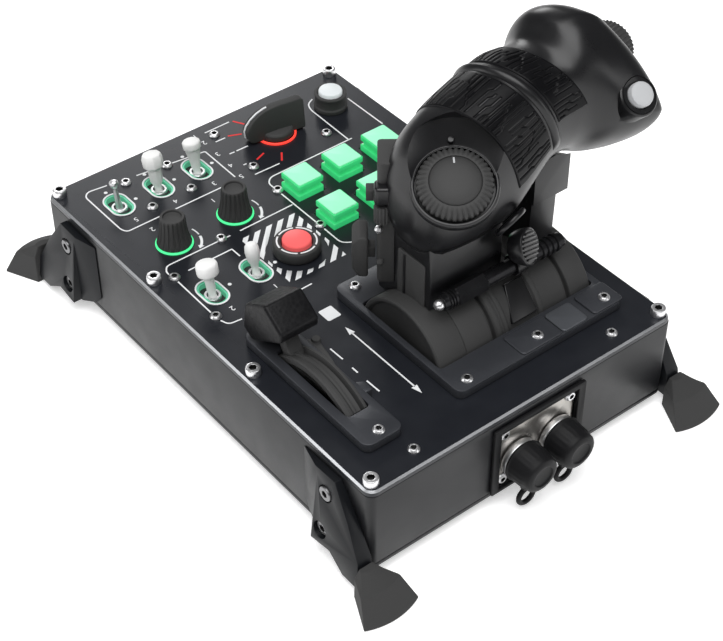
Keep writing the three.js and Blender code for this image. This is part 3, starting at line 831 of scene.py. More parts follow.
@dataclass
class Feet:
    """Four splayed rubber feet on clamped brackets, with their black screws."""

    inner: float = 14.6
    outer: float = 34.4
    half_angle: float = 25.7
    centre: Point2 = (93.5, 118.0)
    screw_places: Sequence[Point2] = ((104.7, -15.7), (103.5, -38.0))

    def build(self, fasteners: Fasteners) -> None:
        """Builds all four.

        Args:
            fasteners: Where their screws come from.
        """
        for end, ey, knee, ridge in (("front", 1, -43.0, -38.5), ("rear", -1, -38.0, -32.0)):
            for side, sx in (("right", 1), ("left", -1)):
                tag = f"{end}_{side}"
                dress(from_frame(f"foot_bracket_{tag}", f"bracket_{tag}", 1.0, 3), BRACKET_COAT,
                      replaces=[f"foot_bracket_{tag}"])
                dress(self.pad(tag, sx, ey, knee, ridge), FOOT_RUBBER, replaces=[f"foot_pad_{tag}"])
                for i, (y, z) in enumerate(self.screw_places, 1):
                    fasteners.fit(f"bracket_screw_{tag}_{i}", Screw.BRACKET,
                                  (sx * (91.0 + i * 0.8), ey * y, z), (sx, 0, 0), DARK_SCREW, 11 * i)

    def pad(self, tag: str, sx: int, ey: int, knee: float, ridge: float) -> bpy.types.Object:
        """Lofts one rubber foot.

        Args:
            tag: Which foot.
            sx: 1 on the right, -1 on the left.
            ey: 1 at the front, -1 at the rear.
            knee: Height of the knee.
            ridge: Height of the top ridge.

        Returns:
            The foot.
        """
        half = math.radians(self.half_angle)
        sole, skirt = -LIFT, -53.2
        levels = [(sole, self.outer - 0.5, 0.985), (-53.9, self.outer, 1.0), (skirt, self.outer, 1.0)]
        levels += [(skirt + (knee - skirt) * t, self.outer - 8.1 * t, 1 - 0.04 * t)
                   for t in (0.25, 0.5, 0.75, 0.97)]
        levels += [(knee + 0.3, 25.9, 0.955)]
        levels += [(knee + (ridge - knee) * t, 26.3 - 9.4 * t, 0.96 - 0.4 * t) for t in (0.3, 0.6, 0.85, 1.0)]
        rows = []
        for z, reach, squeeze in levels:
            back = self.inner * math.cos(half)
            row = [Vector((squeeze * reach * math.sin(t * half), reach * math.cos(t * half), z))
                   for t in (i / 12 - 1 for i in range(25))]
            row += [Vector((squeeze * self.inner * math.sin(t * half), back, z))
                    for t in (1 - i / 4 for i in range(9))]
            rows.append([Vector((sx * (self.centre[0] + p.x), ey * (self.centre[1] + p.y), p.z))
                         for p in row])
        return smooth(soften(lofted(f"rubber_foot_{tag}", rows), 0.7, 3, 42), math.radians(16))


@dataclass
class Connectors:
    """The stainless socket plate at the front with its frame, two sockets and their capped covers."""

    screw_places: Sequence[Point2] = ((-25.6, -12.6), (13.6, -12.6), (-25.6, -40.4), (13.6, -40.4))
    sockets: Sequence[tuple[str, float]] = (("right", 4.8), ("left", -18.0))
    socket_height: float = -31.0

    def build(self, fasteners: Fasteners) -> None:
        """Builds the plate and what is on it.

        Args:
            fasteners: Where its screws come from.
        """
        dress(from_frame("connector_frame", "socket_frame", 0.5), CAP_RUBBER, replaces=["connector_frame"])
        dress(from_frame("connector_plate", "socket_plate", 0.4), STAINLESS, replaces=["connector_plate"])
        for i, (x, z) in enumerate(self.screw_places, 1):
            fasteners.fit(f"socket_plate_screw_{i}", Screw.M3_BUTTON, (x, HALF_LENGTH - 0.4, z), FORWARD,
                          turn=19 * i)
        for side, x in self.sockets:
            at = (x, HALF_LENGTH, self.socket_height)
            place = place_of(at, FORWARD)
            barrel = turned(f"socket_barrel_{side}", [(0, -6), (5.8, -6), (5.8, 8), (7.5, 8), (7.5, 3),
                                                      (9.9, 3), (9.9, 0.1), (8, 0), (8, -12), (0, -12)],
                            place, edge=0.3)
            dress(barrel, SCREW_STEEL, replaces=[f"socket_{side}"])
            cap = turned(f"rubber_cap_{side}", [(0, 13.2), (7.9, 13.2), (7.9, 3.4), (8.6, 3.2), (10.4, 3.4),
                                                (10.8, 4.2), (10.2, 5), (9.9, 12.4), (9.3, 13.8), (9.2, 15.6),
                                                (8.6, 16.6), (7, 17.3), (5.6, 17.4), (5.2, 16.6), (0, 16.5)],
                         place, steps=96, edge=0.25,
                         shape=lambda r, z, a: (r - 0.35 * (math.sin(24 * a) > 0.3)
                                                if r > 9.8 and 5 < z < 12.5 else r))
            bpy.ops.mesh.primitive_torus_add(major_radius=4.4 * MM, minor_radius=1.25 * MM, major_segments=36,
                                             minor_segments=12, rotation=(math.pi / 2, 0, 0))
            loop = bpy.context.object
            bpy.ops.object.transform_apply(location=True, rotation=True, scale=True)
            settle(loop, place_of((x + 3, HALF_LENGTH + 10.3, self.socket_height - 15.4)))
            tab = slab(f"cap_tab_{side}", rounded(x - 1.5, x + 6, -10.6, -7.6, 1.2), -1.25, 1.25, 0.4, 2,
                       Matrix.Translation((0, (HALF_LENGTH + 10.3) * MM, self.socket_height * MM))
                       @ Matrix.Rotation(math.pi / 2, 4, "X"))
            smooth(loop)
            dress(joined(cap.name, [cap, loop, tab]), CAP_RUBBER, f"dust_cap_{side}",
                  [f"dust_cap_{side}"])


# ---------------------------------------------------------------- panel
@dataclass
class PanelPrint:
    """White and red lines and plain numbers printed on the panel."""

    line: float = 0.75
    white_paths: Sequence[tuple[Sequence[Point2], float]] = (
        (((18.0, -78.5), (73.8, -78.5), (75.3, -82.0), (75.4, -114.0), (72.5, -116.8), (62.0, -115.4)), 3.0),
        (((46.0, -113.0), (7.6, -108.1), (7.9, -81.2)), 1.0),
        (((30.7, -45.0), (-1.3, -45.4)), 0.5),
        (((36.5, -45.0), (73.3, -45.2), (75.6, -42.0), (75.8, -39.5)), 3.0),
        (((75.3, -32.6), (75.6, -5.2)), 0.5),
        (((75.2, 2.0), (73.8, 6.4), (66.9, 7.2)), 3.0),
        (((67.0, -36.2), (41.8, -36.2), (41.8, -29.6)), 0.5),
        (((-58.0, -70.2), (-5.6, -69.9), (-2.1, -66.4), (-2.1, -62.3)), 3.0),
        (((-2.1, -55.8), (-2.1, -27.5)), 0.5),
        (((-2.1, -20.8), (-2.0, -7.6), (-6.4, -4.2), (-11.0, -4.2)), 3.0),
        (((42.2, 7.9), (27.1, 7.6)), 0.5),
        (((-63.0, -110.4), (-58.6, -108.4), (-56.6, -103.6), (-55.9, -70.2)), 3.0),
        (((-78.2, -99.3), (-78.3, -70.2)), 0.5),
        (((-1.4, -121.2), (-16.7, -121.3)), 0.5),
        (((-1.3, -111.3), (-7.2, -111.2)), 0.5),
        (((-1.0, -98.5), (-4.0, -98.4)), 0.5),
        (((-5.2, -98.4), (-12.3, -98.3)), 0.5),
        (((-1.1, -86.6), (-3.0, -86.5)), 0.5),
        (((-1.1, -76.6), (-16.2, -76.2)), 0.5),
        (((47.6, 48.1), (47.4, 57.1)), 0.5),
        (((47.6, 74.5), (47.4, 83.1)), 0.5),
        (((47.5, 64.0), (47.5, 68.0)), 0.5),
        (((33.5, 46.0), (33.4, 90.6)), 0.5))
    red_paths: Sequence[Sequence[Point2]] = (
        ((-18.6, -120.6), (-22.2, -114.2)), ((-9.2, -111.6), (-15.8, -108.6)),
        ((-9.1, -86.0), (-15.1, -88.3)), ((-18.5, -77.4), (-22.5, -83.0)))
    numbers: Sequence[tuple[str, float, float, float]] = (
        ("1", 4.4, -121.8, 4.6), ("2", 3.7, -114.6, 4.6), ("3", 3.9, -102.4, 4.6), ("4", 4.1, -90.6, 4.6),
        ("5", 5.2, -79.8, 4.6), ("5", 65.3, -83.8, 4.4), ("4", 42.2, -83.8, 4.4), ("3", 19.2, -83.6, 4.4),
        ("2", 66.2, -1.6, 4.4), ("1", 41.4, -1.8, 4.4), ("2", 63.2, -72.6, 4.4), ("1", 27.4, -72.6, 4.4))
    dots: Sequence[Point2] = ((65.6, -110.8), (56.5, -97.6), (42.4, -111.2), (33.0, -98.6), (10.4, -98.0),
                              (19.2, -111.6), (31.4, -15.6), (57.4, -16.0))
    stripe_box: tuple[float, float, float, float] = (1.5, 34.5, -39.5, 1.0)
    button_at: Point2 = (18.0, -16.0)

    def build(self) -> None:
        """Prints everything."""
        white = [ribbon("line", filleted(path, r) if len(path) > 2 else path, self.line)
                 for path, r in self.white_paths]
        white += [slab("dot", arc(x, y, 0.95, 0, 345, 23), 0, 0.06, 0) for x, y in self.dots]
        white += self.stripes() + self.arrow_heads() + self.knob_arcs()
        dress(joined("panel_lines", white), PRINT_WHITE)
        red = [ribbon("line", path, 0.95) for path in self.red_paths]
        dress(joined("selector_ticks", red), PRINT_RED)
        dress(joined("panel_numbers", [self.number(*n) for n in self.numbers]), PRINT_WHITE)

    def number(self, text: str, x: float, y: float, size: float) -> bpy.types.Object:
        """Prints one number.

        Args:
            text: The digit.
            x: Its middle across.
            y: Its middle along.
            size: Its size.

        Returns:
            The digit as a mesh.
        """
        bpy.ops.object.text_add()
        digit = bpy.context.object
        digit.data.body = text
        digit.data.align_x, digit.data.align_y = "CENTER", "CENTER"
        digit.data.size = size * MM
        digit.data.extrude = 0.03 * MM
        only(digit)
        bpy.ops.object.convert(target="MESH")
        digit = bpy.context.object
        digit.data.materials.clear()
        return settle(digit, place_of((x, y, 0.03)))

    def stripes(self) -> list[bpy.types.Object]:
        """Hazard stripes in a square round the emergency button.

        Returns:
            The stripes.
        """
        x0, x1, y0, y1 = self.stripe_box
        pieces = []
        pitch = 6.9
        for k in range(-8, 9):
            low, high = k * pitch - 1.75, k * pitch + 1.75
            corners = self.clipped([(x, y) for x, y in ((-60, -60 + low), (60, 60 + low), (60, 60 + high),
                                                        (-60, -60 + high))],
                                   x0 - 18, x1 - 18, y0 + 18, y1 + 18)
            if len(corners) > 2:
                pieces.append(slab("stripe", [(x + 18, y - 18) for x, y in corners], 0, 0.05, 0))
        ring = turned("clear_ring", [(0, -0.5), (15.2, -0.5), (15.2, 1), (0, 1)],
                      place_of((*self.button_at, 0)), 48)
        return [cut_away(joined("stripes", pieces), ring)]

    @staticmethod
    def clipped(corners: list[Point2], x0: float, x1: float, y0: float, y1: float) -> list[Point2]:
        """Cuts an outline down to a rectangle.

        Args:
            corners: The outline.
            x0: Left side.
            x1: Right side.
            y0: Near side.
            y1: Far side.

        Returns:
            What is left of it, with its corners in order.
        """
        for axis, limit, sign in ((0, x0, 1), (0, x1, -1), (1, y0, 1), (1, y1, -1)):
            kept = []
            for p, q in zip(corners, corners[1:] + corners[:1]):
                dp, dq = sign * (p[axis] - limit), sign * (q[axis] - limit)
                if dp >= 0:
                    kept.append(p)
                if dp * dq < 0:
                    t = dp / (dp - dq)
                    kept.append((p[0] + t * (q[0] - p[0]), p[1] + t * (q[1] - p[1])))
            corners = kept
            if not corners:
                return []
        return corners

    def arrow_heads(self) -> list[bpy.types.Object]:
        """Heads at both ends of the throttle travel arrow, and the filled box beside it.

        Returns:
            The pieces.
        """
        heads = [slab("head", [(33.5 - s * 1.6, y), (33.5 + s * 1.6, y), (33.5, y - s * 5.4)], 0, 0.06, 0)
                 for y, s in ((46.4, 1), (90.2, -1))]
        plain_box = slab("box", rounded(29.6, 37.0, 25.2, 33.4, 0.8), 0, 0.06, 0)
        return heads + [plain_box]

    def knob_arcs(self) -> list[bpy.types.Object]:
        """A curved tick beside each turning knob, thickening to an arrow.

        Returns:
            The ticks.
        """
        pieces = []
        for x, y in ((24.9, -57.2), (60.7, -57.1)):
            start = arc(x, y, 13.0, 196, 172, 8)
            outer = arc(x, y, 13.7, 166, 134, 10)
            inner = arc(x, y, 12.4, 134, 166, 10)
            tip = arc(x, y, 13.05, 124, 124, 1)[:1]
            pieces.append(ribbon("tick", start, 0.7))
            pieces.append(slab("tick", outer + [arc(x, y, 14.6, 134, 134, 1)[0], *tip,
                                                arc(x, y, 11.5, 134, 134, 1)[0]] + inner, 0, 0.06, 0))
        return pieces


class Bat(Enum):
    """Shapes of toggle lever: profile of its cap above the pivot and sides round it."""

    ROUNDED = (((1.7, 4), (2.1, 6), (3.1, 8.5), (3.6, 12.5), (3.3, 15.4), (2.2, 17.0), (0, 17.4)), 36)
    MUSHROOM = (((2.2, 4), (2.4, 9.5), (3.2, 11.4), (5.0, 12.2), (5.3, 13), (5.3, 17.0), (4.9, 18.0),
                 (4.0, 18.5), (0, 18.7)), 48)
    TAPERED = (((2.4, 4), (2.7, 7), (4.0, 14), (4.6, 14.6), (4.7, 17.6), (4.2, 18.4), (0, 20.2)), 12)
    OCTAGON = (((2.4, 4), (3.3, 6), (3.5, 12.4), (5.2, 14.2), (5.4, 18.6), (4.7, 20.8), (0, 21.2)), 8)
    METAL = (((1.5, 4), (1.25, 9), (1.1, 11.8), (1.9, 12.6), (2.4, 13.8), (2.3, 15.0), (1.4, 15.8),
              (0, 16.0)), 36)


@dataclass
class Switches:
    """Toggles, knobs and buttons on the panel, with their lights."""

    toggles: Sequence[tuple[float, float, Bat]] = (
        (41.8, -16.4, Bat.ROUNDED), (67.0, -16.3, Bat.MUSHROOM), (19.2, -98.4, Bat.TAPERED),
        (42.4, -98.4, Bat.OCTAGON), (65.5, -98.6, Bat.METAL))
    encoders: Sequence[Point2] = ((24.9, -57.2), (60.7, -57.1))
    selector: Point2 = (-30.0, -98.0)
    square_x: Sequence[float] = (-13.4, -38.4, -63.6)
    square_y: Sequence[float] = (-53.2, -25.0)
    round_at: Point2 = (-66.5, -99.0)
    emergency_at: Point2 = (18.0, -16.0)
    bat_tilt: float = 12.0

    def build(self) -> None:
        """Builds all the switches."""
        for i, (x, y, bat) in enumerate(self.toggles, 1):
            self.toggle(i, x, y, bat)
        for i, (x, y) in enumerate(self.encoders, 1):
            self.encoder(i, x, y)
        self.selector_knob()
        number = 1
        for y in self.square_y:
            for x in self.square_x:
                self.square_button(number, x, y)
                number += 1
        self.round_button()
        self.emergency_button()
        board = from_frame("switch_board", "board", 0)
        dress(board, BOARD_GREEN, replaces=["switch_board"])

    def toggle(self, i: int, x: float, y: float, bat: Bat) -> None:
        """Builds one toggle: its bat, bushing, lit tray and white rim.

        Args:
            i: Its number.
            x: Its place across.
            y: Its place along.
            bat: The shape of its lever.
        """
        cap, sides = bat.value
        tilt = math.radians(self.bat_tilt)
        profile = [(0, -2.4), (1.8, -1.8), (2.3, 0), (1.8, 1.8), *cap]
        lever = turned(f"bat_{i}", profile, place_of((x, y, -2.4), (0, -math.sin(tilt), math.cos(tilt)),
                                                     22.5), sides, 0.25)
        metal = bat is Bat.METAL
        dress(lever, SCREW_STEEL if metal else WHITE_CAP, f"toggle_{i}", [f"toggle_{i}"])
        stadium = rounded(x - 5.6, x + 5.6, y - 8.9, y + 8.9, 5.59, 12)
        rim = ribbon(f"toggle_rim_{i}", rounded(x - 6.0, x + 6.0, y - 9.3, y + 9.3, 5.99, 12), 0.8, 0, 0.35,
                     close=True)
        dress(rim, PRINT_WHITE)
        tray = ribbon(f"toggle_light_{i}", rounded(x - 5.1, x + 5.1, y - 8.4, y + 8.4, 5.09, 12), 1.0, -3.2,
                      -0.15, close=True)
        dress(tray, GREEN_TRAY)
        floor = slab(f"toggle_floor_{i}", stadium, -4.2, -3.3, 0)
        bushing = turned(f"toggle_bushing_{i}", [(2.7, -3.2), (4.3, -3.2), (4.3, -1.6), (3.9, -1.1),
                                                 (2.9, -1.1), (2.7, -1.5), (2.7, -3.2)], place_of((x, y, 0)),
                         32)
        floor = cut_away(floor, turned("bore", [(0, -6), (2.9, -6), (2.9, 0), (0, 0)], place_of((x, y, 0)),
                                       32))
        dress(floor, MOULDED)
        dress(bushing, SCREW_STEEL)

    def encoder(self, i: int, x: float, y: float) -> None:
        """Builds one fluted push knob with its lit ring.

        Args:
            i: Its number.
            x: Its place across.
            y: Its place along.
        """
        def flutes(r: float, z: float, a: float) -> float:
            """Cuts eighteen rounded flutes into the side."""
            if r < 5.3 or z < 1.2:
                return r
            groove = max(0.0, math.cos(18 * a)) ** 0.7
            return r - 0.55 * groove * min(1.0, (16.4 - z) / 1.2 if z < 16.4 else 0.0)

        profile = [(0, -4.6), (3, -4.6), (3, 1.0), (8.5, 1.0), (8.6, 1.6), (8.0, 3.4), (7.3, 6), (6.8, 9),
                   (6.5, 12), (6.3, 15.2), (6.2, 15.8), (5.8, 16.5), (5.2, 16.6), (4.7, 16.5), (4.5, 15.9),
                   (4.45, 15.5), (4.2, 15.4), (0, 15.4)]
        knob = turned(f"push_knob_{i}", profile, place_of((x, y, 0)), 216, 0, flutes)
        dress(knob, MOULDED, f"encoder_{i}", [f"encoder_{i}"])
        ring = turned(f"knob_light_{i}", [(6.0, 0.05), (9.3, 0.05), (9.3, 0.5), (9.0, 0.7), (6.0, 0.7),
                                          (6.0, 0.05)], place_of((x, y, 0)), 48)
        dress(ring, GREEN_LIGHT)

    def selector_knob(self) -> None:
        """Builds the five-way pointer knob, its white pointer line and its lit arc."""
        place = place_of((*self.selector, 0), UP, -99)
        side = [(-15.6, 1.0), (15.0, 1.0), (17.3, 3.4), (17.7, 7.6), (16.6, 10.2), (14, 13.4), (10.6, 15.9),
                (7, 17.5), (3, 18.3), (-2, 18.6), (-13.6, 18.6), (-15.4, 17.2)]
        fin = slab("fin", side, -4.6, 4.6, 0.9, 3, SIDEWAYS)
        settle(fin, Matrix.Translation((0, 0, -2 * LIFT * MM)))

        def taper(v: Vector) -> Vector:
            """Thins the fin towards its top and hollows its sides."""
            t = min(1.0, max(0.0, v.z / 18.6))
            return Vector((v.x * (1.0 - 0.52 * t ** 0.6), v.y, v.z))
        move_vertices(fin, taper)
        settle(fin, place)
        skirt = turned("skirt", [(0, -4.6), (3, -4.6), (3, 0.8), (9.1, 0.8), (9.3, 1.4), (9.0, 3.8),
                                 (8.2, 4.8), (0, 5.2)], place, 72, 0.2)
        dress(joined("selector_pointer", [fin, skirt]), MOULDED, "selector_knob", ["selector_knob"])
        nose = [(17.55, 3.6), (17.95, 7.6), (16.9, 10.4), (14.25, 13.6), (10.8, 16.15), (7.1, 17.75),
                (5.0, 18.25)]
        line = ribbon("line", nose, 0.5, -0.45, 0.45, SIDEWAYS)
        settle(line, Matrix.Translation((0, 0, -LIFT * MM)) @ Matrix.Translation((0, 0, -LIFT * MM)))
        settle(line, place)
        dress(joined("selector_pointer_line", [line]), PRINT_WHITE, "selector_knob")
        ring = turned("selector_light", [(9.6, 0.05), (10.6, 0.05), (10.6, 0.9), (10.3, 1.1), (9.8, 1.1),
                                         (9.6, 0.9), (9.6, 0.05)], place_of((*self.selector, 0)), 72)
        dress(ring, RED_LIGHT)

    def square_button(self, i: int, x: float, y: float) -> None:
        """Builds one lit push button: clear skirt, waist and a mint top plate.

        Args:
            i: Its number.
            x: Its place across.
            y: Its place along.
        """
        name = f"square_button_{i}"

        def block(tag: str, half: float, low: float, high: float, r: float, edge: float) -> bpy.types.Object:
            """Cuts one square layer of the button."""
            return slab(tag, rounded(x - half, x + half, y - half, y + half, r, 4), low, high, edge, 3)
        skirt = joined(f"button_skirt_{i}", [block("a", 7.75, -2, 2.6, 1.0, 0.4),
                                             block("b", 6.5, 2.5, 5.4, 0.8, 0),
                                             block("c", 7.75, 5.3, 8.3, 1.2, 0.5)])
        dress(skirt, GREEN_SKIRT, name, [name])
        dress(block(f"button_top_{i}", 7.0, 8.0, 8.9, 1.0, 0.35), GREEN_TOP, name)

    def round_button(self) -> None:
        """Builds the white round push button in its black collar."""
        place = place_of((*self.round_at, 0))
        collar = turned("round_collar", [(6.7, 0.3), (8.8, 0.3), (8.9, 2.4), (8.3, 3.2), (8.2, 7.6),
                                         (8.7, 8.6), (8.5, 9.5), (7.4, 9.7), (6.7, 9.4), (6.7, 0.3)], place,
                        64, 0.15)
        dress(collar, MOULDED, replaces=["round_button_ring"])
        cap = turned("round_cap", [(0, -3), (4, -3), (4, 1.5), (6.3, 1.5), (6.3, 10.2), (5.9, 10.9),
                                   (5.2, 11.2), (0, 11.5)], place, 64, 0)
        dress(cap, BUTTON_WHITE, "round_button", ["round_button"])

    def emergency_button(self) -> None:
        """Builds the guarded red button with its segmented white ring."""
        place = place_of((*self.emergency_at, 0))
        collar = turned("emergency_collar", [(7.6, 0.3), (11.3, 0.3), (11.7, 1.2), (11.7, 4.6), (11.2, 5.8),
                                             (10.2, 6.1), (8.4, 6.1), (7.6, 5.4), (7.6, 0.3)], place, 72, 0.2)
        dress(collar, MOULDED, replaces=["emergency_button_ring"])
        segments = [ribbon("segment", arc(*self.emergency_at, 9.6, start + 4, start + 56, 14), 0.8, 6.05,
                           6.22) for start in range(0, 360, 60)]
        dress(joined("emergency_ring_marks", segments), PRINT_WHITE)
        cap = turned("emergency_cap", [(0, -3), (4, -3), (4, 1.5), (7.1, 1.5), (7.1, 7.0), (6.7, 7.6),
                                       (6.0, 7.8), (0, 8.0)], place, 64, 0)
        dress(cap, RED_CAP, "emergency_button", ["emergency_button"])


# ---------------------------------------------------------------- throttle
@dataclass
class GripForm:
    """The outer form of the grip.

    Each section holds x, low z, high z, rear y, front y, its turn in degrees and how full its upper front and
    lower front quarters are: 2 is an ellipse, 1 a straight line, more is squarer.
    """

    sections: Sequence[tuple[float, ...]] = (
        (17, 60, 84, 50, 70, 0, 2.3, 2.3),
        (13, 50, 97, 44, 77, 0, 2.3, 2.3),
        (5, 45.5, 106, 39, 82, 0, 2.3, 2.3),
        (-8, 44.5, 113, 36, 84.5, 0, 2.3, 2.3),
        (-20, 45, 117.5, 34.5, 85, 0, 2.3, 2.3),
        (-31, 48, 120.5, 33.5, 84.5, 0, 2.3, 2.3),
        (-42, 59, 122, 33, 83.5, 0, 2.3, 2.3),
        (-52, 68, 121, 34, 82, 0, 2.3, 2.3),
        (-61, 69, 122.5, 34, 82, 3, 2.3, 2.3),
        (-69, 65, 130, 29.5, 84, 6, 2.0, 2.2),
        (-78, 60, 131.9, 26.5, 91, 9, 1.5, 1.7),
        (-87, 58.5, 129, 27, 96, 11, 1.35, 1.5),
        (-94, 61, 121, 31, 96, 13, 1.35, 1.5),
        (-96.5, 70, 111, 40, 87, 13, 1.5, 1.6))
    rear_fullness: float = 2.3

    def section(self, u: float) -> list[float]:
        """Section numbers at a place along the grip, drawn smoothly through the given ones.

        Args:
            u: Place along the grip, in sections from the thumb end.

        Returns:
            The eight numbers of the section.
        """
        k = min(int(u), len(self.sections) - 2)
        t = u - k
        p = [self.sections[min(max(k + j, 0), len(self.sections) - 1)] for j in (-1, 0, 1, 2)]
        return [0.5 * (2 * b + (c - a) * t + (2 * a - 5 * b + 4 * c - d) * t * t
                       + (3 * b - a - 3 * c + d) * t ** 3) for a, b, c, d in zip(*p)]

    def point(self, u: float, angle: float, out: float = 0.0, size: float = 1.0) -> Vector:
        """A point on the form.

        Args:
            u: Place along the grip.
            angle: Angle round the section: 0 is the front, a quarter turn is the top.
            out: How far outside the form.
            size: Scale of the section.

        Returns:
            The point in millimetres.
        """
        x, z0, z1, y0, y1, turn, upper, lower = self.section(u)
        c, s = math.cos(angle), math.sin(angle)
        front = upper + (lower - upper) * min(1.0, max(0.0, 0.5 - 2.5 * s))
        full = 2 / (self.rear_fullness + (front - self.rear_fullness) * min(1.0, max(0.0, 0.5 + 2.5 * c)))
        across = ((y1 - y0) / 2 * size + out) * math.copysign(abs(c) ** full, c)
        up = ((z1 - z0) / 2 * size + out) * math.copysign(abs(s) ** full, s)
        yaw = math.radians(turn)
        return Vector((x - across * math.sin(yaw), (y0 + y1) / 2 + across * math.cos(yaw),
                       (z0 + z1) / 2 + up))

    def skin(self, name: str, around: int = 112, per_section: int = 6) -> bpy.types.Object:
        """The whole form as one closed piece.

        Args:
            name: The piece's name.
            around: Points round each row.
            per_section: Rows from one section to the next.

        Returns:
            The piece.
        """
        last = len(self.sections) - 1
        rows = []
        for size, push in ((0.35, 1.1), (0.7, 0.8), (0.9, 0.35)):
            rows.append([p + Vector((push, 0, 0)) for p in self.ring(0, around, size)])
        for i in range(last * per_section + 1):
            rows.append(self.ring(i / per_section, around, 1.0))
        for size, push in ((0.9, -0.3), (0.7, -0.7), (0.35, -1.0)):
            rows.append([p + Vector((push, 0, 0)) for p in self.ring(last, around, size)])
        return lofted(name, rows)

    def ring(self, u: float, around: int, size: float) -> list[Vector]:
        """One closed row of points.

        Args:
            u: Place along the grip.
            around: Number of points.
            size: Scale of the section.

        Returns:
            The points.
        """
        return [self.point(u, TAU * i / around, 0.0, size) for i in range(around)]

    def patch(self, low: float, high: float, rows: int, angles: tuple[float, float],
              columns: int) -> list[list[Vector]]:
        """A grid on the form between two slanting planes.

        Args:
            low: Slant value of the first row.
            high: Slant value of the last row.
            rows: Number of steps between them.
            angles: First and last angle round the form, in degrees.
            columns: Number of steps round.

        Returns:
            The grid, row by row.
        """
        grid = [[Vector() for _ in range(columns + 1)] for _ in range(rows + 1)]
        fine = 260
        for j in range(columns + 1):
            angle = math.radians(angles[0] + (angles[1] - angles[0]) * j / columns)
            line = [self.point(i * (len(self.sections) - 1) / fine, angle) for i in range(fine + 1)]
            slants = [slant_of(p) for p in line]
            k = 0
            for i in range(rows + 1):
                wanted = low + (high - low) * i / rows
                while k < fine - 1 and slants[k + 1] < wanted:
                    k += 1
                t = (wanted - slants[k]) / max(1e-6, slants[k + 1] - slants[k])
                grid[i][j] = line[k].lerp(line[k + 1], t)
        return grid


def slant_of(p: Vector) -> float:
    """How far a point is along the slanting direction that the rubber inlays follow."""
    return -p.x - 0.29 * p.y + 0.35 * p.z


def normals_of(grid: list[list[Vector]]) -> list[list[Vector]]:
    """Outward directions of a grid on the grip.

    Args:
        grid: The grid.

    Returns:
        A direction for each of its points.
    """
    rows, columns = len(grid) - 1, len(grid[0]) - 1
    found = []
    for i in range(rows + 1):
        line = []
        for j in range(columns + 1):
            along = grid[min(i + 1, rows)][j] - grid[max(i - 1, 0)][j]
            round_it = grid[i][min(j + 1, columns)] - grid[i][max(j - 1, 0)]
            line.append(round_it.cross(along).normalized() * -1)
        found.append(line)
    return found


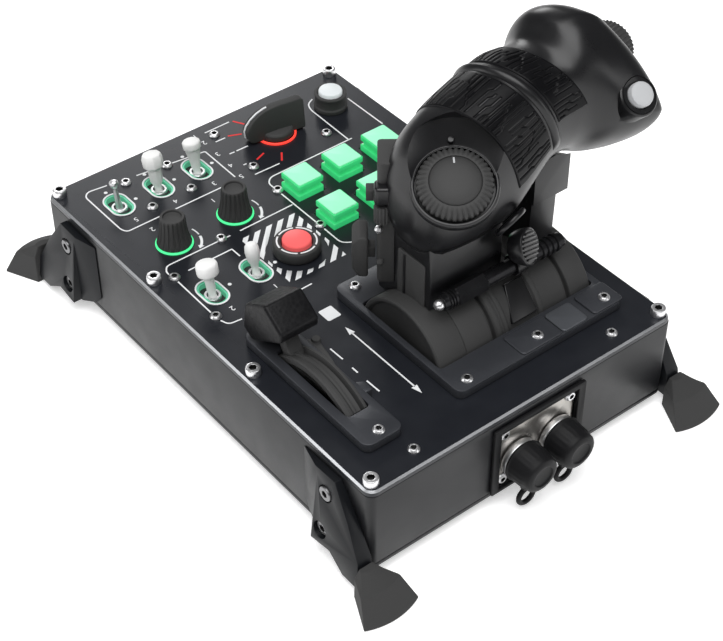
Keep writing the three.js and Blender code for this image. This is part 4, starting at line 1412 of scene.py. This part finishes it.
@dataclass
class Grip:
    """The hand grip: two shells, rubber inlays with tracked grooves, rib, dial, wheel and button."""

    form: GripForm = field(default_factory=GripForm)
    seam_height: float = 56.0
    seam_slope: float = -0.17
    seam_gap: float = 0.35
    dial_at: Point3 = (2.5, 77.2, 89.2)
    dial_axis: Point3 = (0.298, 0.376, 0.877)
    dial_radius: float = 16.6
    wheel_at: Point3 = (-95.2, 61.1, 105.2)
    wheel_axis: Point3 = (-0.97, -0.23, 0.0)
    button_at: Point3 = (-89.1, 92.4, 102.6)
    button_axis: Point3 = (0.05, 0.70, 0.71)
    groove_pitch: float = 2.35
    groove_width: float = 0.75
    groove_depth: float = 0.65
    index_angle: float = 236.0

    def build(self) -> None:
        """Builds the grip and what is set into it."""
        self.shells()
        self.inlay("inner", 30.0, 54.5, (-8, 168), 11)
        self.inlay("outer", 62.0, 79.5, (8, 168), 29)
        self.rib()
        self.dial()
        self.wheel()
        self.button()

    def shells(self) -> None:
        """Makes the skin, cuts its recesses and parts it along the seam."""
        skin = self.form.skin("grip_skin")
        boss = turned("boss", [(0, -27), (9.4, -27), (9.6, -24), (9.6, -1.9), (9.4, -1.2), (8.8, -0.7),
                               (8.0, -0.6), (0, -0.6)], place_of(self.button_at, self.button_axis), 64)
        apply_modifier(skin, "BOOLEAN", operation="UNION", object=boss, solver="EXACT")
        bpy.data.objects.remove(boss)
        cut_away(skin, turned("tool", [(0, -6.2), (self.dial_radius + 0.6, -6.2),
                                       (self.dial_radius + 0.6, -0.9), (self.dial_radius + 2.0, -0.4),
                                       (self.dial_radius + 11.0, 6.6), (self.dial_radius + 11.0, 30),
                                       (0, 30)], place_of(self.dial_at, self.dial_axis), 96),
                 turned("tool", [(0, -6.4), (6.2, -6.4), (6.2, 10), (0, 10)],
                        place_of(self.button_at, self.button_axis), 48),
                 turned("tool", [(8.1, -1.1), (8.5, -1.1), (8.5, 6), (8.1, 6), (8.1, -1.1)],
                        place_of(self.button_at, self.button_axis), 64),
                 turned("tool", [(0, -2.2), (12.2, -2.2), (12.2, 20), (0, 20)],
                        place_of(self.wheel_at, self.wheel_axis), 64))
        lower = copy_of(skin, "grip_shell_lower", Matrix.Identity(4))
        skin.name = "grip_shell_upper"
        normal = Vector((-self.seam_slope, 0, 1)).normalized()
        for piece, side, name in ((skin, 1, "grip_upper_shell"), (lower, -1, "grip_lower_shell")):
            at = Vector((0, 0, (self.seam_height + LIFT + side * self.seam_gap / 2) * MM))
            with editing(piece):
                bpy.ops.mesh.bisect(plane_co=at, plane_no=normal, use_fill=True, clear_inner=side > 0,
                                    clear_outer=side < 0)
            smooth(piece, math.radians(38))
            dress(piece, GRIP_BLACK, "throttle", [name])

    def inlay(self, tag: str, low: float, high: float, angles: tuple[float, float], seed: int) -> None:
        """Makes one rubber inlay with grooves that run along the handle and step sideways.

        Args:
            tag: Which inlay.
            low: Slant value of its thumb side edge.
            high: Slant value of its outer edge.
            angles: Where it starts and ends round the handle, in degrees.
            seed: Seed of its groove steps.
        """
        rows, columns = int((high - low) / 0.36), 300
        grid = self.form.patch(low, high, rows, angles, columns)
        normals = normals_of(grid)
        middle = grid[rows // 2]
        arc_length = [0.0]
        for a, b in zip(middle, middle[1:]):
            arc_length.append(arc_length[-1] + (b - a).length)
        grooves = self.tracks(arc_length[-1], seed)
        top, under = [], []
        for i in range(rows + 1):
            along = i / rows
            top_row, under_row = [], []
            for j in range(columns + 1):
                around = arc_length[j]
                edge = min(along * (high - low), (1 - along) * (high - low), around * 0.9,
                           (arc_length[-1] - around) * 0.9)
                height = 0.6 * min(1.0, edge / 0.8) ** 0.5 if edge > 0 else -0.3
                if edge > 1.3:
                    height -= self.groove_depth * self.groove(grooves, along, around)
                top_row.append(grid[i][j] + normals[i][j] * height)
                under_row.append(grid[i][j] - normals[i][j] * 0.5)
            top.append(top_row)
            under.append(under_row)
        piece = self.closed_patch(f"rubber_inlay_{tag}", top, under)
        if tag == "inner":
            cut_away(piece, turned("tool", [(0, -20), (self.dial_radius + 1.9, -20),
                                            (self.dial_radius + 1.9, 30), (0, 30)],
                                   place_of(self.dial_at, self.dial_axis), 96))
        dress(piece, PAD_RUBBER, "throttle", [f"grip_pad_{tag}"])

    def tracks(self, length: float, seed: int) -> list[tuple[float, float, float, float, float]]:
        """Lays out the grooves of an inlay.

        Args:
            length: Length round the handle.
            seed: Seed of the draws.

        Returns:
            For each groove: its middle, where it steps, how far, and where it starts and stops.
        """
        draw = random.Random(seed)
        found = []
        for k in range(int((length - 4.0) / self.groove_pitch) + 1):
            side = 0.5 if (k // 4) % 2 else -0.5
            step_at = 0.22 + 0.5 * (k % 4) / 3 + draw.uniform(-0.04, 0.04)
            found.append((2.2 + k * self.groove_pitch, step_at, side * self.groove_pitch,
                          draw.choice((0.0, 0.0, 0.0, 0.3)), draw.choice((1.0, 1.0, 1.0, 0.7))))
        return found

    def groove(self, tracks: Sequence[tuple[float, ...]], along: float, around: float) -> float:
        """How deep the grooves are at a place.

        Args:
            tracks: The grooves.
            along: Place along the handle, 0 to 1.
            around: Place round the handle, in millimetres.

        Returns:
            Depth from 0 to 1.
        """
        deepest = 0.0
        for place, step_at, step, start, stop in tracks:
            if abs(around - place) > self.groove_pitch or not start <= along <= stop:
                continue
            shift = step * min(1.0, max(0.0, (along - step_at) / 0.07))
            away = abs(around - place - shift)
            deepest = max(deepest, min(1.0, max(0.0, (self.groove_width / 2 + 0.2 - away) / 0.35)))
        return deepest

    @staticmethod
    def closed_patch(name: str, top: list[list[Vector]], under: list[list[Vector]]) -> bpy.types.Object:
        """Closes a shaped top grid with its underside and edges.

        Args:
            name: The piece's name.
            top: The top grid.
            under: The grid below it.

        Returns:
            The closed piece.
        """
        rows, n = len(top), len(top[0])
        points = [p * MM for row in top for p in row] + [p * MM for row in under for p in row]
        base = rows * n
        faces = []
        for i in range(rows - 1):
            for j in range(n - 1):
                a, b, c, d = i * n + j, i * n + j + 1, (i + 1) * n + j + 1, (i + 1) * n + j
                faces += [(a, b, c, d), (base + d, base + c, base + b, base + a)]
        border = (list(range(n)) + [i * n + n - 1 for i in range(1, rows)]
                  + [(rows - 1) * n + j for j in range(n - 2, -1, -1)]
                  + [i * n for i in range(rows - 2, 0, -1)])
        faces += [(border[(k + 1) % len(border)], border[k], base + border[k],
                   base + border[(k + 1) % len(border)]) for k in range(len(border))]
        mesh = bpy.data.meshes.new(name)
        mesh.from_pydata(points, [], faces)
        piece = bpy.data.objects.new(name, mesh)
        bpy.context.scene.collection.objects.link(piece)
        with editing(piece):
            bpy.ops.mesh.normals_make_consistent(inside=False)
        smooth(piece, math.radians(50))
        return settle(piece)

    def rib(self) -> None:
        """Raises the rounded rib between the two inlays."""
        rows, columns = 14, 120
        grid = self.form.patch(55.4, 61.2, rows, (-22, 200), columns)
        normals = normals_of(grid)
        top, under = [], []
        for i in range(rows + 1):
            lift = math.sin(math.pi * i / rows) ** 0.8
            fade = [min(1.0, j / 10, (columns - j) / 10) for j in range(columns + 1)]
            top.append([grid[i][j] + normals[i][j] * (1.9 * lift * fade[j] - 0.15)
                        for j in range(columns + 1)])
            under.append([grid[i][j] - normals[i][j] * 0.8 for j in range(columns + 1)])
        dress(self.closed_patch("grip_rib", top, under), GRIP_BLACK, "throttle")

    def dial(self) -> None:
        """Makes the toothed thumb dial with its dome and index line, and its collar and pointer plate."""
        place = place_of(self.dial_at, self.dial_axis)

        def teeth(r: float, z: float, a: float) -> float:
            """Cuts forty teeth into the rim."""
            if r < 11.3 or z < -1.5:
                return r
            return r - 0.95 * (0.5 + 0.5 * math.cos(40 * a)) ** 2 * min(1.0, (r - 11.3) / 2.3)
        profile = [(0, -5.6), (16.0, -5.6), (16.2, -2.0), (16.6, -0.6), (16.5, 0.4), (15.9, 1.5), (14.5, 2.7),
                   (13.2, 3.4), (12.1, 3.7), (11.5, 3.7), (11.2, 3.2), (11.0, 3.5), (10.4, 4.4), (9.0, 5.4),
                   (6.6, 6.2), (3.8, 6.7), (0, 6.9)]
        dial = turned("thumb_dial", profile, place, 240, 0, teeth)
        dress(dial, MOULDED, "grip_dial", ["grip_dial"])
        line = [arc(0, 0, r, self.index_angle, self.index_angle, 1)[0] for r in (6.4, 9.6)]
        index = ribbon("dial_index", line, 0.75, 4.4, 6.05, place)
        dress(index, SILVER, "grip_dial")
        mark = arc(0, 0, 19.8, self.index_angle, self.index_angle, 1)[0]
        pointer = slab("dial_pointer_plate", [(mark[0] + a, mark[1] + b) for a, b in
                                              arc(0, 0, 1.5, 0, 345, 23)], -2.0, 2.1, 0.4, 3, place)
        dress(pointer, GRIP_BLACK, "throttle")
        collar = turned("dial_collar", [(17.2, -5.0), (19.0, -5.0), (19.1, -1.6), (18.5, -0.7), (17.7, -0.6),
                                        (17.2, -1.1), (17.2, -5.0)], place, 96, 0.15)
        dress(collar, GRIP_BLACK, "throttle")

    def wheel(self) -> None:
        """Makes the knurled wheel at the end of the handle."""
        def knurl(r: float, z: float, a: float) -> float:
            """Cuts thirty-six ridges into the rim."""
            return r - 0.6 * (0.5 + 0.5 * math.cos(36 * a)) if r > 10.6 and 0.5 < z < 9.9 else r
        profile = [(0, -1.8), (11.4, -1.8), (11.6, 0.2), (11.6, 1.0), (11.6, 9.1), (11.5, 9.7), (10.4, 10.4),
                   (8.6, 10.5), (8.2, 9.8), (0, 9.7)]
        wheel = turned("handle_end_wheel", profile, place_of(self.wheel_at, self.wheel_axis), 192, 0, knurl)
        dress(wheel, MOULDED, "end_wheel", ["end_wheel"])

    def button(self) -> None:
        """Makes the silver button at the end of the handle."""
        profile = [(0, -4.2), (5.7, -4.2), (5.7, 1.2), (5.5, 1.9), (4.9, 2.4), (4.2, 2.6), (0, 2.9)]
        dress(turned("silver_button", profile, place_of(self.button_at, self.button_axis), 64), SILVER,
              "end_button", ["end_button"])


@dataclass
class ThrottleBase:
    """What carries the grip: bezel, turned drum, neck, leg, thumb controls and finger lift."""

    drum_radius: float = 29.0
    drum_ends: tuple[float, float] = (-71.0, 20.5)
    rod_y: float = 80.0
    rod_z: float = 28.5
    rod_ends: tuple[float, float] = (-61.0, 13.0)
    bezel_screws: Sequence[tuple[float, float, float]] = ((15.9, 26.2, 5.0), (15.9, 105.0, 5.0),
                                                          (-26.4, 104.4, 6.1), (-67.5, 104.6, 6.1))
    thumb_at: Point2 = (9.5, 40.5)
    thumb_facing: Point2 = (0.784, -0.62)
    paddle_at: Point3 = (-33.0, 89.0, 44.5)
    paddle_axis: Point3 = (-0.40, 0.82, 0.38)

    def build(self, fasteners: Fasteners) -> None:
        """Builds the base of the throttle.

        Args:
            fasteners: Where its screws come from.
        """
        dress(from_frame("throttle_bezel", "throttle_surround", 0.8, 3), BEZEL_COAT,
              replaces=["throttle_bezel"])
        for i, at in enumerate(self.bezel_screws, 1):
            fasteners.fit(f"surround_screw_{i}", Screw.M3_BUTTON, at, turn=29 * i)
        for side in ("right", "left"):
            dress(from_frame(f"throttle_cradle_{side}", f"cradle_{side}", 0.3), SCREW_STEEL,
                  replaces=[f"throttle_cradle_{side}"])
        dress(from_frame("throttle_axle", "axle", 0.2), SCREW_STEEL, replaces=["throttle_axle"])
        self.steps()
        self.drum()
        self.neck()
        self.thumb_controls()
        self.lift()

    def steps(self) -> None:
        """Adds the raised plates along the front of the surround."""
        for name, (x0, x1, y0, y1), top, finish in (
                ("surround_plate_middle", (-37.0, -13.2, 95.2, 109.8), 6.1, BEZEL_COAT),
                ("surround_block", (-52.6, -37.4, 96.4, 110.0), 6.4, GREY_PLATE),
                ("surround_plate_left", (-74.8, -56.6, 95.2, 109.8), 6.1, BEZEL_COAT)):
            dress(slab(name, rounded(x0, x1, y0, y1, 1.8), 4.7, top, 0.5, 3), finish)

    def drum(self) -> None:
        """Turns the throttle drum with its lips, ridges, grooves and flat."""
        x0, x1 = self.drum_ends
        r = self.drum_radius
        profile = [(3.3, x0 + 1.6), (25.4, x0 + 1.6), (26.2, x0 + 0.6), (26.9, x0), (28.3, x0), (r, x0 + 0.7)]
        profile += [(r, -58.8), (r - 0.5, -58.4), (26.4, -58.2), (26.4, -56.4), (r - 0.5, -56.2), (r, -55.8)]
        profile += [(r, -42.0), (29.5, -41.4), (29.5, -39.2), (28.5, -38.6), (28.2, -38.4), (28.2, -21.4),
                    (28.6, -20.8), (29.4, -20.3), (29.4, -18.6), (28.7, -18.0), (28.7, -17.0), (29.5, -16.4),
                    (29.5, -14.2), (r, -13.6)]
        profile += [(r - 0.5, -13.2), (26.4, -13.0), (26.4, -11.2), (r - 0.5, -11.0), (r, -10.6)]
        profile += [(r, 4.25), (r - 0.45, 4.4), (r - 0.45, 4.8), (r, 4.95), (r, x1 - 0.7), (28.3, x1),
                    (26.9, x1), (26.2, x1 - 0.6), (25.4, x1 - 1.6), (3.3, x1 - 1.6), (3.3, x0 + 1.6)]
        drum = turned("swing_drum", profile, place_of((0, PIVOT.y, PIVOT.z), RIGHT), 144, 0.15)
        dress(drum, MOULDED, "throttle", ["throttle_drum"])
        lean = math.radians(46)
        tangent = Matrix.Translation((0, (PIVOT.y + 27.6 * math.sin(lean)) * MM,
                                      (PIVOT.z + 27.6 * math.cos(lean)) * MM))
        tangent = tangent @ Matrix.Rotation(-lean, 4, "X")
        flat = slab("drum_flat", [(-38.2, -8.8), (-27.6, -8.8), (-22.8, 8.8), (-38.2, 8.8)], -2.4, 0.9, 0.5,
                    3, tangent)
        dress(flat, GRIP_BLACK, "throttle")

    def neck(self) -> None:
        """Makes the neck with its side panel and the outer leg."""
        dress(from_frame("throttle_neck", "neck", 2.2, 5), GRIP_BLACK, "throttle", ["throttle_neck"])
        dress(from_frame("throttle_leg", "outer_leg", 1.6, 4), GRIP_BLACK, "throttle", ["throttle_leg"])
        panel = slab("neck_side_panel", rounded(52.5, 71.0, 15.5, 44.5, 1.6), 11.6, 12.7, 0.4, 3, SIDEWAYS)
        dress(panel, MOULDED, "throttle")
        rail = slab("neck_side_rail", rounded(56.6, 58.2, 16.5, 43.5, 0.7), 12.5, 13.1, 0.25, 2, SIDEWAYS)
        dress(rail, GRIP_BLACK, "throttle")

    def thumb_place(self, out: float, across: float, z: float) -> Point3:
        """A point of the thumb controls.

        Args:
            out: Distance outwards from the block.
            across: Distance across it, towards the front.
            z: Height above the panel.

        Returns:
            The point in the panel frame.
        """
        fx, fy = self.thumb_facing
        return (self.thumb_at[0] + fx * out - fy * across, self.thumb_at[1] + fy * out + fx * across, z)

    def thumb_controls(self) -> None:
        """Makes the thumb block, its two hats and the small pieces between them."""
        fx, fy = self.thumb_facing
        profile_place = Matrix(((fx, 0, fy, self.thumb_at[0] * MM), (fy, 0, -fx, self.thumb_at[1] * MM),
                                (0, 1, 0, 0), (0, 0, 0, 1)))
        dress(from_frame("thumb_module", "thumb_block", 1.2, 3), MOULDED, "throttle", ["thumb_module"])
        upper = slab("hat", [(8.5, 79.0), (15.5, 80.4), (19.0, 78.8), (18.7, 73), (17.2, 67), (15.6, 61),
                             (13.4, 55), (12.2, 53.2), (8.5, 53.2)], -8, 8, 1.2, 4, profile_place)
        stem = slab("stem", [(4.8, 63.2), (9, 63.2), (9, 68.8), (4.8, 68.8)], -3, 3, 0.4, 2, profile_place)
        dish = slab("dish", [(17.6, 74.5), (19.4, 75.5), (19.4, 71), (15.8, 57), (14.2, 57.5), (16.6, 66)],
                    -5.6, 5.6, 0.8, 3, profile_place)
        dress(joined("upper_hat", [cut_away(upper, dish), stem]), MOULDED, "thumb_hat_upper",
              ["thumb_hat_upper"])
        lower = slab("hat", [(8, 45), (12.6, 45.6), (15.3, 42.6), (15.3, 28), (12.8, 22.8), (8, 22.6)], -7, 7,
                     1.2, 3, profile_place)
        stem = slab("stem", [(4.8, 31.2), (9, 31.2), (9, 36.8), (4.8, 36.8)], -3, 3, 0.4, 2, profile_place)
        slits = [slab("slit", [(14.5, z), (16, z), (16, z + 1.1), (14.5, z + 1.1)], -5, 5, 0, 2,
                      profile_place) for z in (28.5, 32.0, 35.5, 39.0)]
        dress(joined("lower_hat", [cut_away(lower, *slits), stem]), MOULDED, "thumb_hat_lower",
              ["thumb_hat_lower"])
        barrel = turned("thumb_barrel", [(0, -4.6), (3.4, -4.6), (3.8, -4.0), (3.8, 4.0), (3.4, 4.6),
                                         (0, 4.6)], place_of(self.thumb_place(1.9, 9.6, 62)), 96, 0,
                        lambda r, z, a: r - 0.5 * (0.5 + 0.5 * math.cos(14 * a)) if r > 3.3 else r)
        dress(barrel, MOULDED, "throttle")
        block = slab("thumb_rocker", rounded(-3.4, 5.6, 5.2, 13.4, 2.2), 68.5, 77.5, 1.4, 4,
                     place_of((*self.thumb_at, 0), UP, math.degrees(math.atan2(fy, fx))))
        dress(block, GRIP_BLACK, "throttle")
        for i, (out, across, z, r) in enumerate(((3.4, 9.8, 53.0, 1.9), (2.6, 9.4, 34.0, 1.8)), 1):
            stud = turned(f"thumb_stud_{i}", [(0, -r), (r * 0.7, -r * 0.7), (r, 0), (r * 0.7, r * 0.7),
                                              (0, r)], place_of(self.thumb_place(out, across, z)), 24)
            dress(stud, SCREW_STEEL if i == 1 else MOULDED, "throttle")
        clip = slab("thumb_clip", [(3.0, 55.8), (3.8, 55.4), (5.2, 59.6), (5.0, 62.6), (4.2, 62.6),
                                   (4.2, 59.8)], -11.0, -9.2, 0.3, 2, profile_place)
        dress(clip, SCREW_STEEL, "throttle")

    def lift(self) -> None:
        """Makes the rod with its rings and ball end, and the ribbed finger paddle on it."""
        x0, x1 = self.rod_ends
        profile = [(0, x0), (3.3, x0), (3.6, x0 + 0.4)]
        for x in range(int(x0) + 3, -46, 3):
            profile += [(3.6, x), (4.4, x + 0.4), (4.4, x + 1.6), (3.6, x + 2.0)]
        profile += [(3.6, -14.5), (4.5, -14.0), (4.5, 2.2), (3.5, 2.8)]
        for x in (3.4, 4.9, 6.4):
            profile += [(3.5, x), (4.2, x + 0.2), (4.2, x + 0.9), (3.5, x + 1.1)]
        profile += [(3.4, 8.0), (3.4, x1 - 3.0), (0, x1 - 3.0)]
        rod = turned("lift_shaft", profile, place_of((0, self.rod_y, self.rod_z), RIGHT), 48, 0,
                     lambda r, z, a: hexagon(7.9)(a) if r > 4.45 and -14.5 < z < 2.5 else r)
        dress(rod, ROD_STEEL, "throttle", ["lift_rod"])
        ball = turned("lift_ball", [(0, -2.6), (1.3, -2.3), (2.3, -1.3), (2.6, 0), (2.3, 1.3), (1.3, 2.3),
                                    (0, 2.6)], place_of((x1 - 1.6, self.rod_y, self.rod_z), RIGHT), 32)
        dress(ball, SCREW_STEEL, "throttle")
        place = place_of(self.paddle_at, self.paddle_axis)
        cup = turned("cup", [(0, -9.5), (5.0, -9.5), (6.8, -8.0), (8.1, -5.0), (8.7, -1.6), (8.5, -0.4),
                             (7.8, 0.1), (7.3, -0.3), (0, -0.2)], place, 64, 0.1)
        ribs = []
        for k in range(-3, 4):
            half = math.sqrt(6.9 ** 2 - (k * 1.9) ** 2)
            ribs.append(slab("rib", rounded(-half, half, k * 1.9 - 0.5, k * 1.9 + 0.5, 0.45, 3), -0.6, 0.55,
                             0.2, 2, place))
        clamp = turned("clamp", [(3.75, -38), (4.9, -38), (5.15, -37.6), (5.15, -31.4), (4.9, -31),
                                 (3.75, -31), (3.75, -38)], place_of((0, self.rod_y, self.rod_z), RIGHT), 48)
        arm = slab("arm", [(80.8, 32.4), (83.4, 30.6), (88.6, 36.5), (87.0, 41), (82.4, 38.4)], -37.6, -31.4,
                   0.7, 3, SIDEWAYS)
        dress(joined("lift_paddle", [cup, clamp, arm, *ribs]), GRIP_BLACK, "finger_paddle", ["finger_paddle"])
        bpy.ops.mesh.primitive_torus_add(major_radius=7.4 * MM, minor_radius=1.3 * MM, major_segments=64,
                                         minor_segments=16)
        hood = bpy.context.object
        hood.name = "lift_hood"
        settle(smooth(hood), place_of((-25.0, 83.4, 58.8), (-0.25, 0.8, -0.55)))
        dress(hood, GRIP_BLACK, "throttle")


@dataclass
class SideLever:
    """The side axis lever in its surround."""

    surround_screws: Sequence[Point2] = ((65.5, 105.1), (65.5, 26.0))
    pivot_z: float = -29.0
    lean: float = 31.0

    def build(self, fasteners: Fasteners) -> None:
        """Builds the lever.

        Args:
            fasteners: Where its screws come from.
        """
        dress(from_frame("lever_bezel", "lever_surround", 0.8, 3), BEZEL_COAT, replaces=["lever_bezel"])
        for i, (x, y) in enumerate(self.surround_screws, 1):
            fasteners.fit(f"lever_surround_screw_{i}", Screw.M3_BUTTON, (x, y, 5.0), turn=31 * i)
        dress(from_frame("lever_cradle_right", "lever_cradle", 0.3), SCREW_STEEL,
              replaces=["lever_cradle_right"])
        dress(from_frame("lever_axle", "lever_shaft", 0.2), SCREW_STEEL, replaces=["lever_axle"])
        self.cover()
        dress(from_frame("side_lever_knob", "lever_knob", 1.8, 5), KNOB_RUBBER, "side_lever",
              ["side_lever_knob"])
        guard = slab("lever_guard", [(50.8, 42.4), (55.6, 40.6), (55.6, 63.5), (53.8, 58.0)], 0.3, 4.9, 0.5,
                     3)
        post = turned("post", [(0, 0.3), (2.3, 0.3), (2.3, 5.0), (1.9, 5.8), (0, 6.0)],
                      place_of((52.0, 43.6, 0)), 32)
        dress(joined("lever_guard", [guard, post]), MOULDED)
        dress(slab("lever_tab", [(51.6, 77.8), (55.5, 75.6), (55.5, 83.6), (51.6, 83.6)], 0.3, 4.9, 0.5, 3),
              BEZEL_COAT)

    def cover(self) -> None:
        """Sweeps the ridged arc of the cover round the lever's pivot and joins the arm and hub to it."""
        section = [(37.4, 59.7), (41.0, 59.7), (41.2, 60.2), (41.2, 61.2), (40.4, 61.6), (38.6, 62.0),
                   (38.4, 62.4), (38.4, 64.6), (38.8, 65.0), (40.6, 65.2), (41.2, 65.7), (41.2, 66.8),
                   (40.5, 67.2), (40.5, 67.9), (41.0, 68.3), (41.0, 69.8), (40.4, 70.6), (37.4, 70.6)]
        rows = []
        for k in range(69):
            a = math.radians(-68 + 2 * k - self.lean)
            rows.append([Vector((x, PIVOT.y + r * math.sin(a), self.pivot_z + r * math.cos(a)))
                         for r, x in section])
        arch = smooth(lofted("arch", rows), math.radians(40))
        web = from_frame("side_lever", "lever_cover", 0.3, 2)

        def inwards(v: Vector) -> Vector:
            """Pulls the plain arc of the frame piece in under the ridged one."""
            y, z = v.y - PIVOT.y, v.z - LIFT - self.pivot_z
            r = math.hypot(y, z)
            k = 37.8 / r if 37.5 < r < 41.5 and not 65.2 - 3.7 < v.x < 65.2 + 3.6 else 1.0
            return Vector((v.x, PIVOT.y + y * k, LIFT + self.pivot_z + z * k))
        move_vertices(web, inwards)
        dress(joined("lever_cover", [web, arch]), MOULDED, "side_lever", ["side_lever"])


# ---------------------------------------------------------------- studio
@dataclass
class Studio:
    """A pale floor, soft light and the camera.

    The camera's places and lens are in millimetres and its roll in degrees. The floor is in metres, and
    each lamp has a name, a place and a side in metres, and a power in watts.
    """

    camera_at: Point3 = (396.58, 512.08, 545.52)
    target: Point3 = (24.88, 42.18, 0.0)
    roll: float = -0.17
    lens: float = 88.26
    surround: float = 0.14
    floor_half: float = 4.0
    lamps: Sequence[tuple[str, Point3, float, float]] = (
        ("overhead", (0.45, 0.45, 2.2), 2.2, 64.0), ("left_soft", (1.8, -0.9, 0.6), 0.9, 8.0),
        ("front_soft", (-0.9, 1.9, 0.5), 0.9, 6.0), ("rear_soft", (-1.0, -2.0, 1.0), 0.8, 12.0))

    def build(self) -> None:
        """Sets up floor, light and camera."""
        bpy.ops.mesh.primitive_grid_add(x_subdivisions=4, y_subdivisions=4, size=2 * self.floor_half)
        floor = bpy.context.object
        floor.name = "pale_floor"
        floor.data.materials.append(FLOOR.material())
        world = bpy.data.worlds.new("soft_surround")
        world.use_nodes = True
        world.node_tree.nodes["Background"].inputs["Color"].default_value = (1, 1, 1, 1)
        world.node_tree.nodes["Background"].inputs["Strength"].default_value = self.surround
        bpy.context.scene.world = world
        for name, at, size, power in self.lamps:
            self.lamp(name, at, size, power)
        bpy.context.scene.view_settings.view_transform = "Standard"
        self.camera()

    def lamp(self, name: str, at: Point3, size: float, power: float) -> None:
        """Hangs one soft lamp that looks at the object.

        Args:
            name: Its name.
            at: Its place in metres.
            size: Its side in metres.
            power: Its power in watts.
        """
        light = bpy.data.lights.new(name, "AREA")
        light.size, light.energy = size, power
        lamp = bpy.data.objects.new(name, light)
        lamp.location = at
        lamp.rotation_euler = (Vector((0, 0, 0.05)) - Vector(at)).to_track_quat("-Z", "Y").to_euler()
        bpy.context.scene.collection.objects.link(lamp)

    def camera(self) -> None:
        """Places the camera and makes it the scene's."""
        seen = bpy.data.cameras.new("view")
        seen.lens, seen.sensor_width, seen.sensor_fit = self.lens, 36.0, "HORIZONTAL"
        seen.clip_end = 20.0
        camera = bpy.data.objects.new("view", seen)
        at = Vector((self.camera_at[0], self.camera_at[1], self.camera_at[2] + LIFT)) * MM
        target = Vector((self.target[0], self.target[1], self.target[2] + LIFT)) * MM
        facing = (target - at).to_track_quat("-Z", "Y").to_matrix().to_4x4()
        camera.matrix_world = (Matrix.Translation(at) @ facing
                               @ Matrix.Rotation(math.radians(self.roll), 4, "Z"))
        bpy.context.scene.collection.objects.link(camera)
        bpy.context.scene.camera = camera


FLOOR = Finish("pale_floor", "none", (0.93, 0.93, 0.93), (0.91, 0.91, 0.91), (0.7, 0.8), patch=400, grain=3,
               relief=0.02, glow=0.5, glow_tone=(1.0, 1.0, 1.0))


def main() -> None:
    """Builds every sub-assembly in order."""
    bpy.ops.object.select_all(action="DESELECT")
    fasteners = Fasteners()
    ControlBox().build(fasteners)
    Feet().build(fasteners)
    Connectors().build(fasteners)
    PanelPrint().build()
    Switches().build()
    ThrottleBase().build(fasteners)
    Grip().build()
    SideLever().build(fasteners)
    fasteners.clear_away()
    Studio().build()


if __name__ == "__main__":
    main()
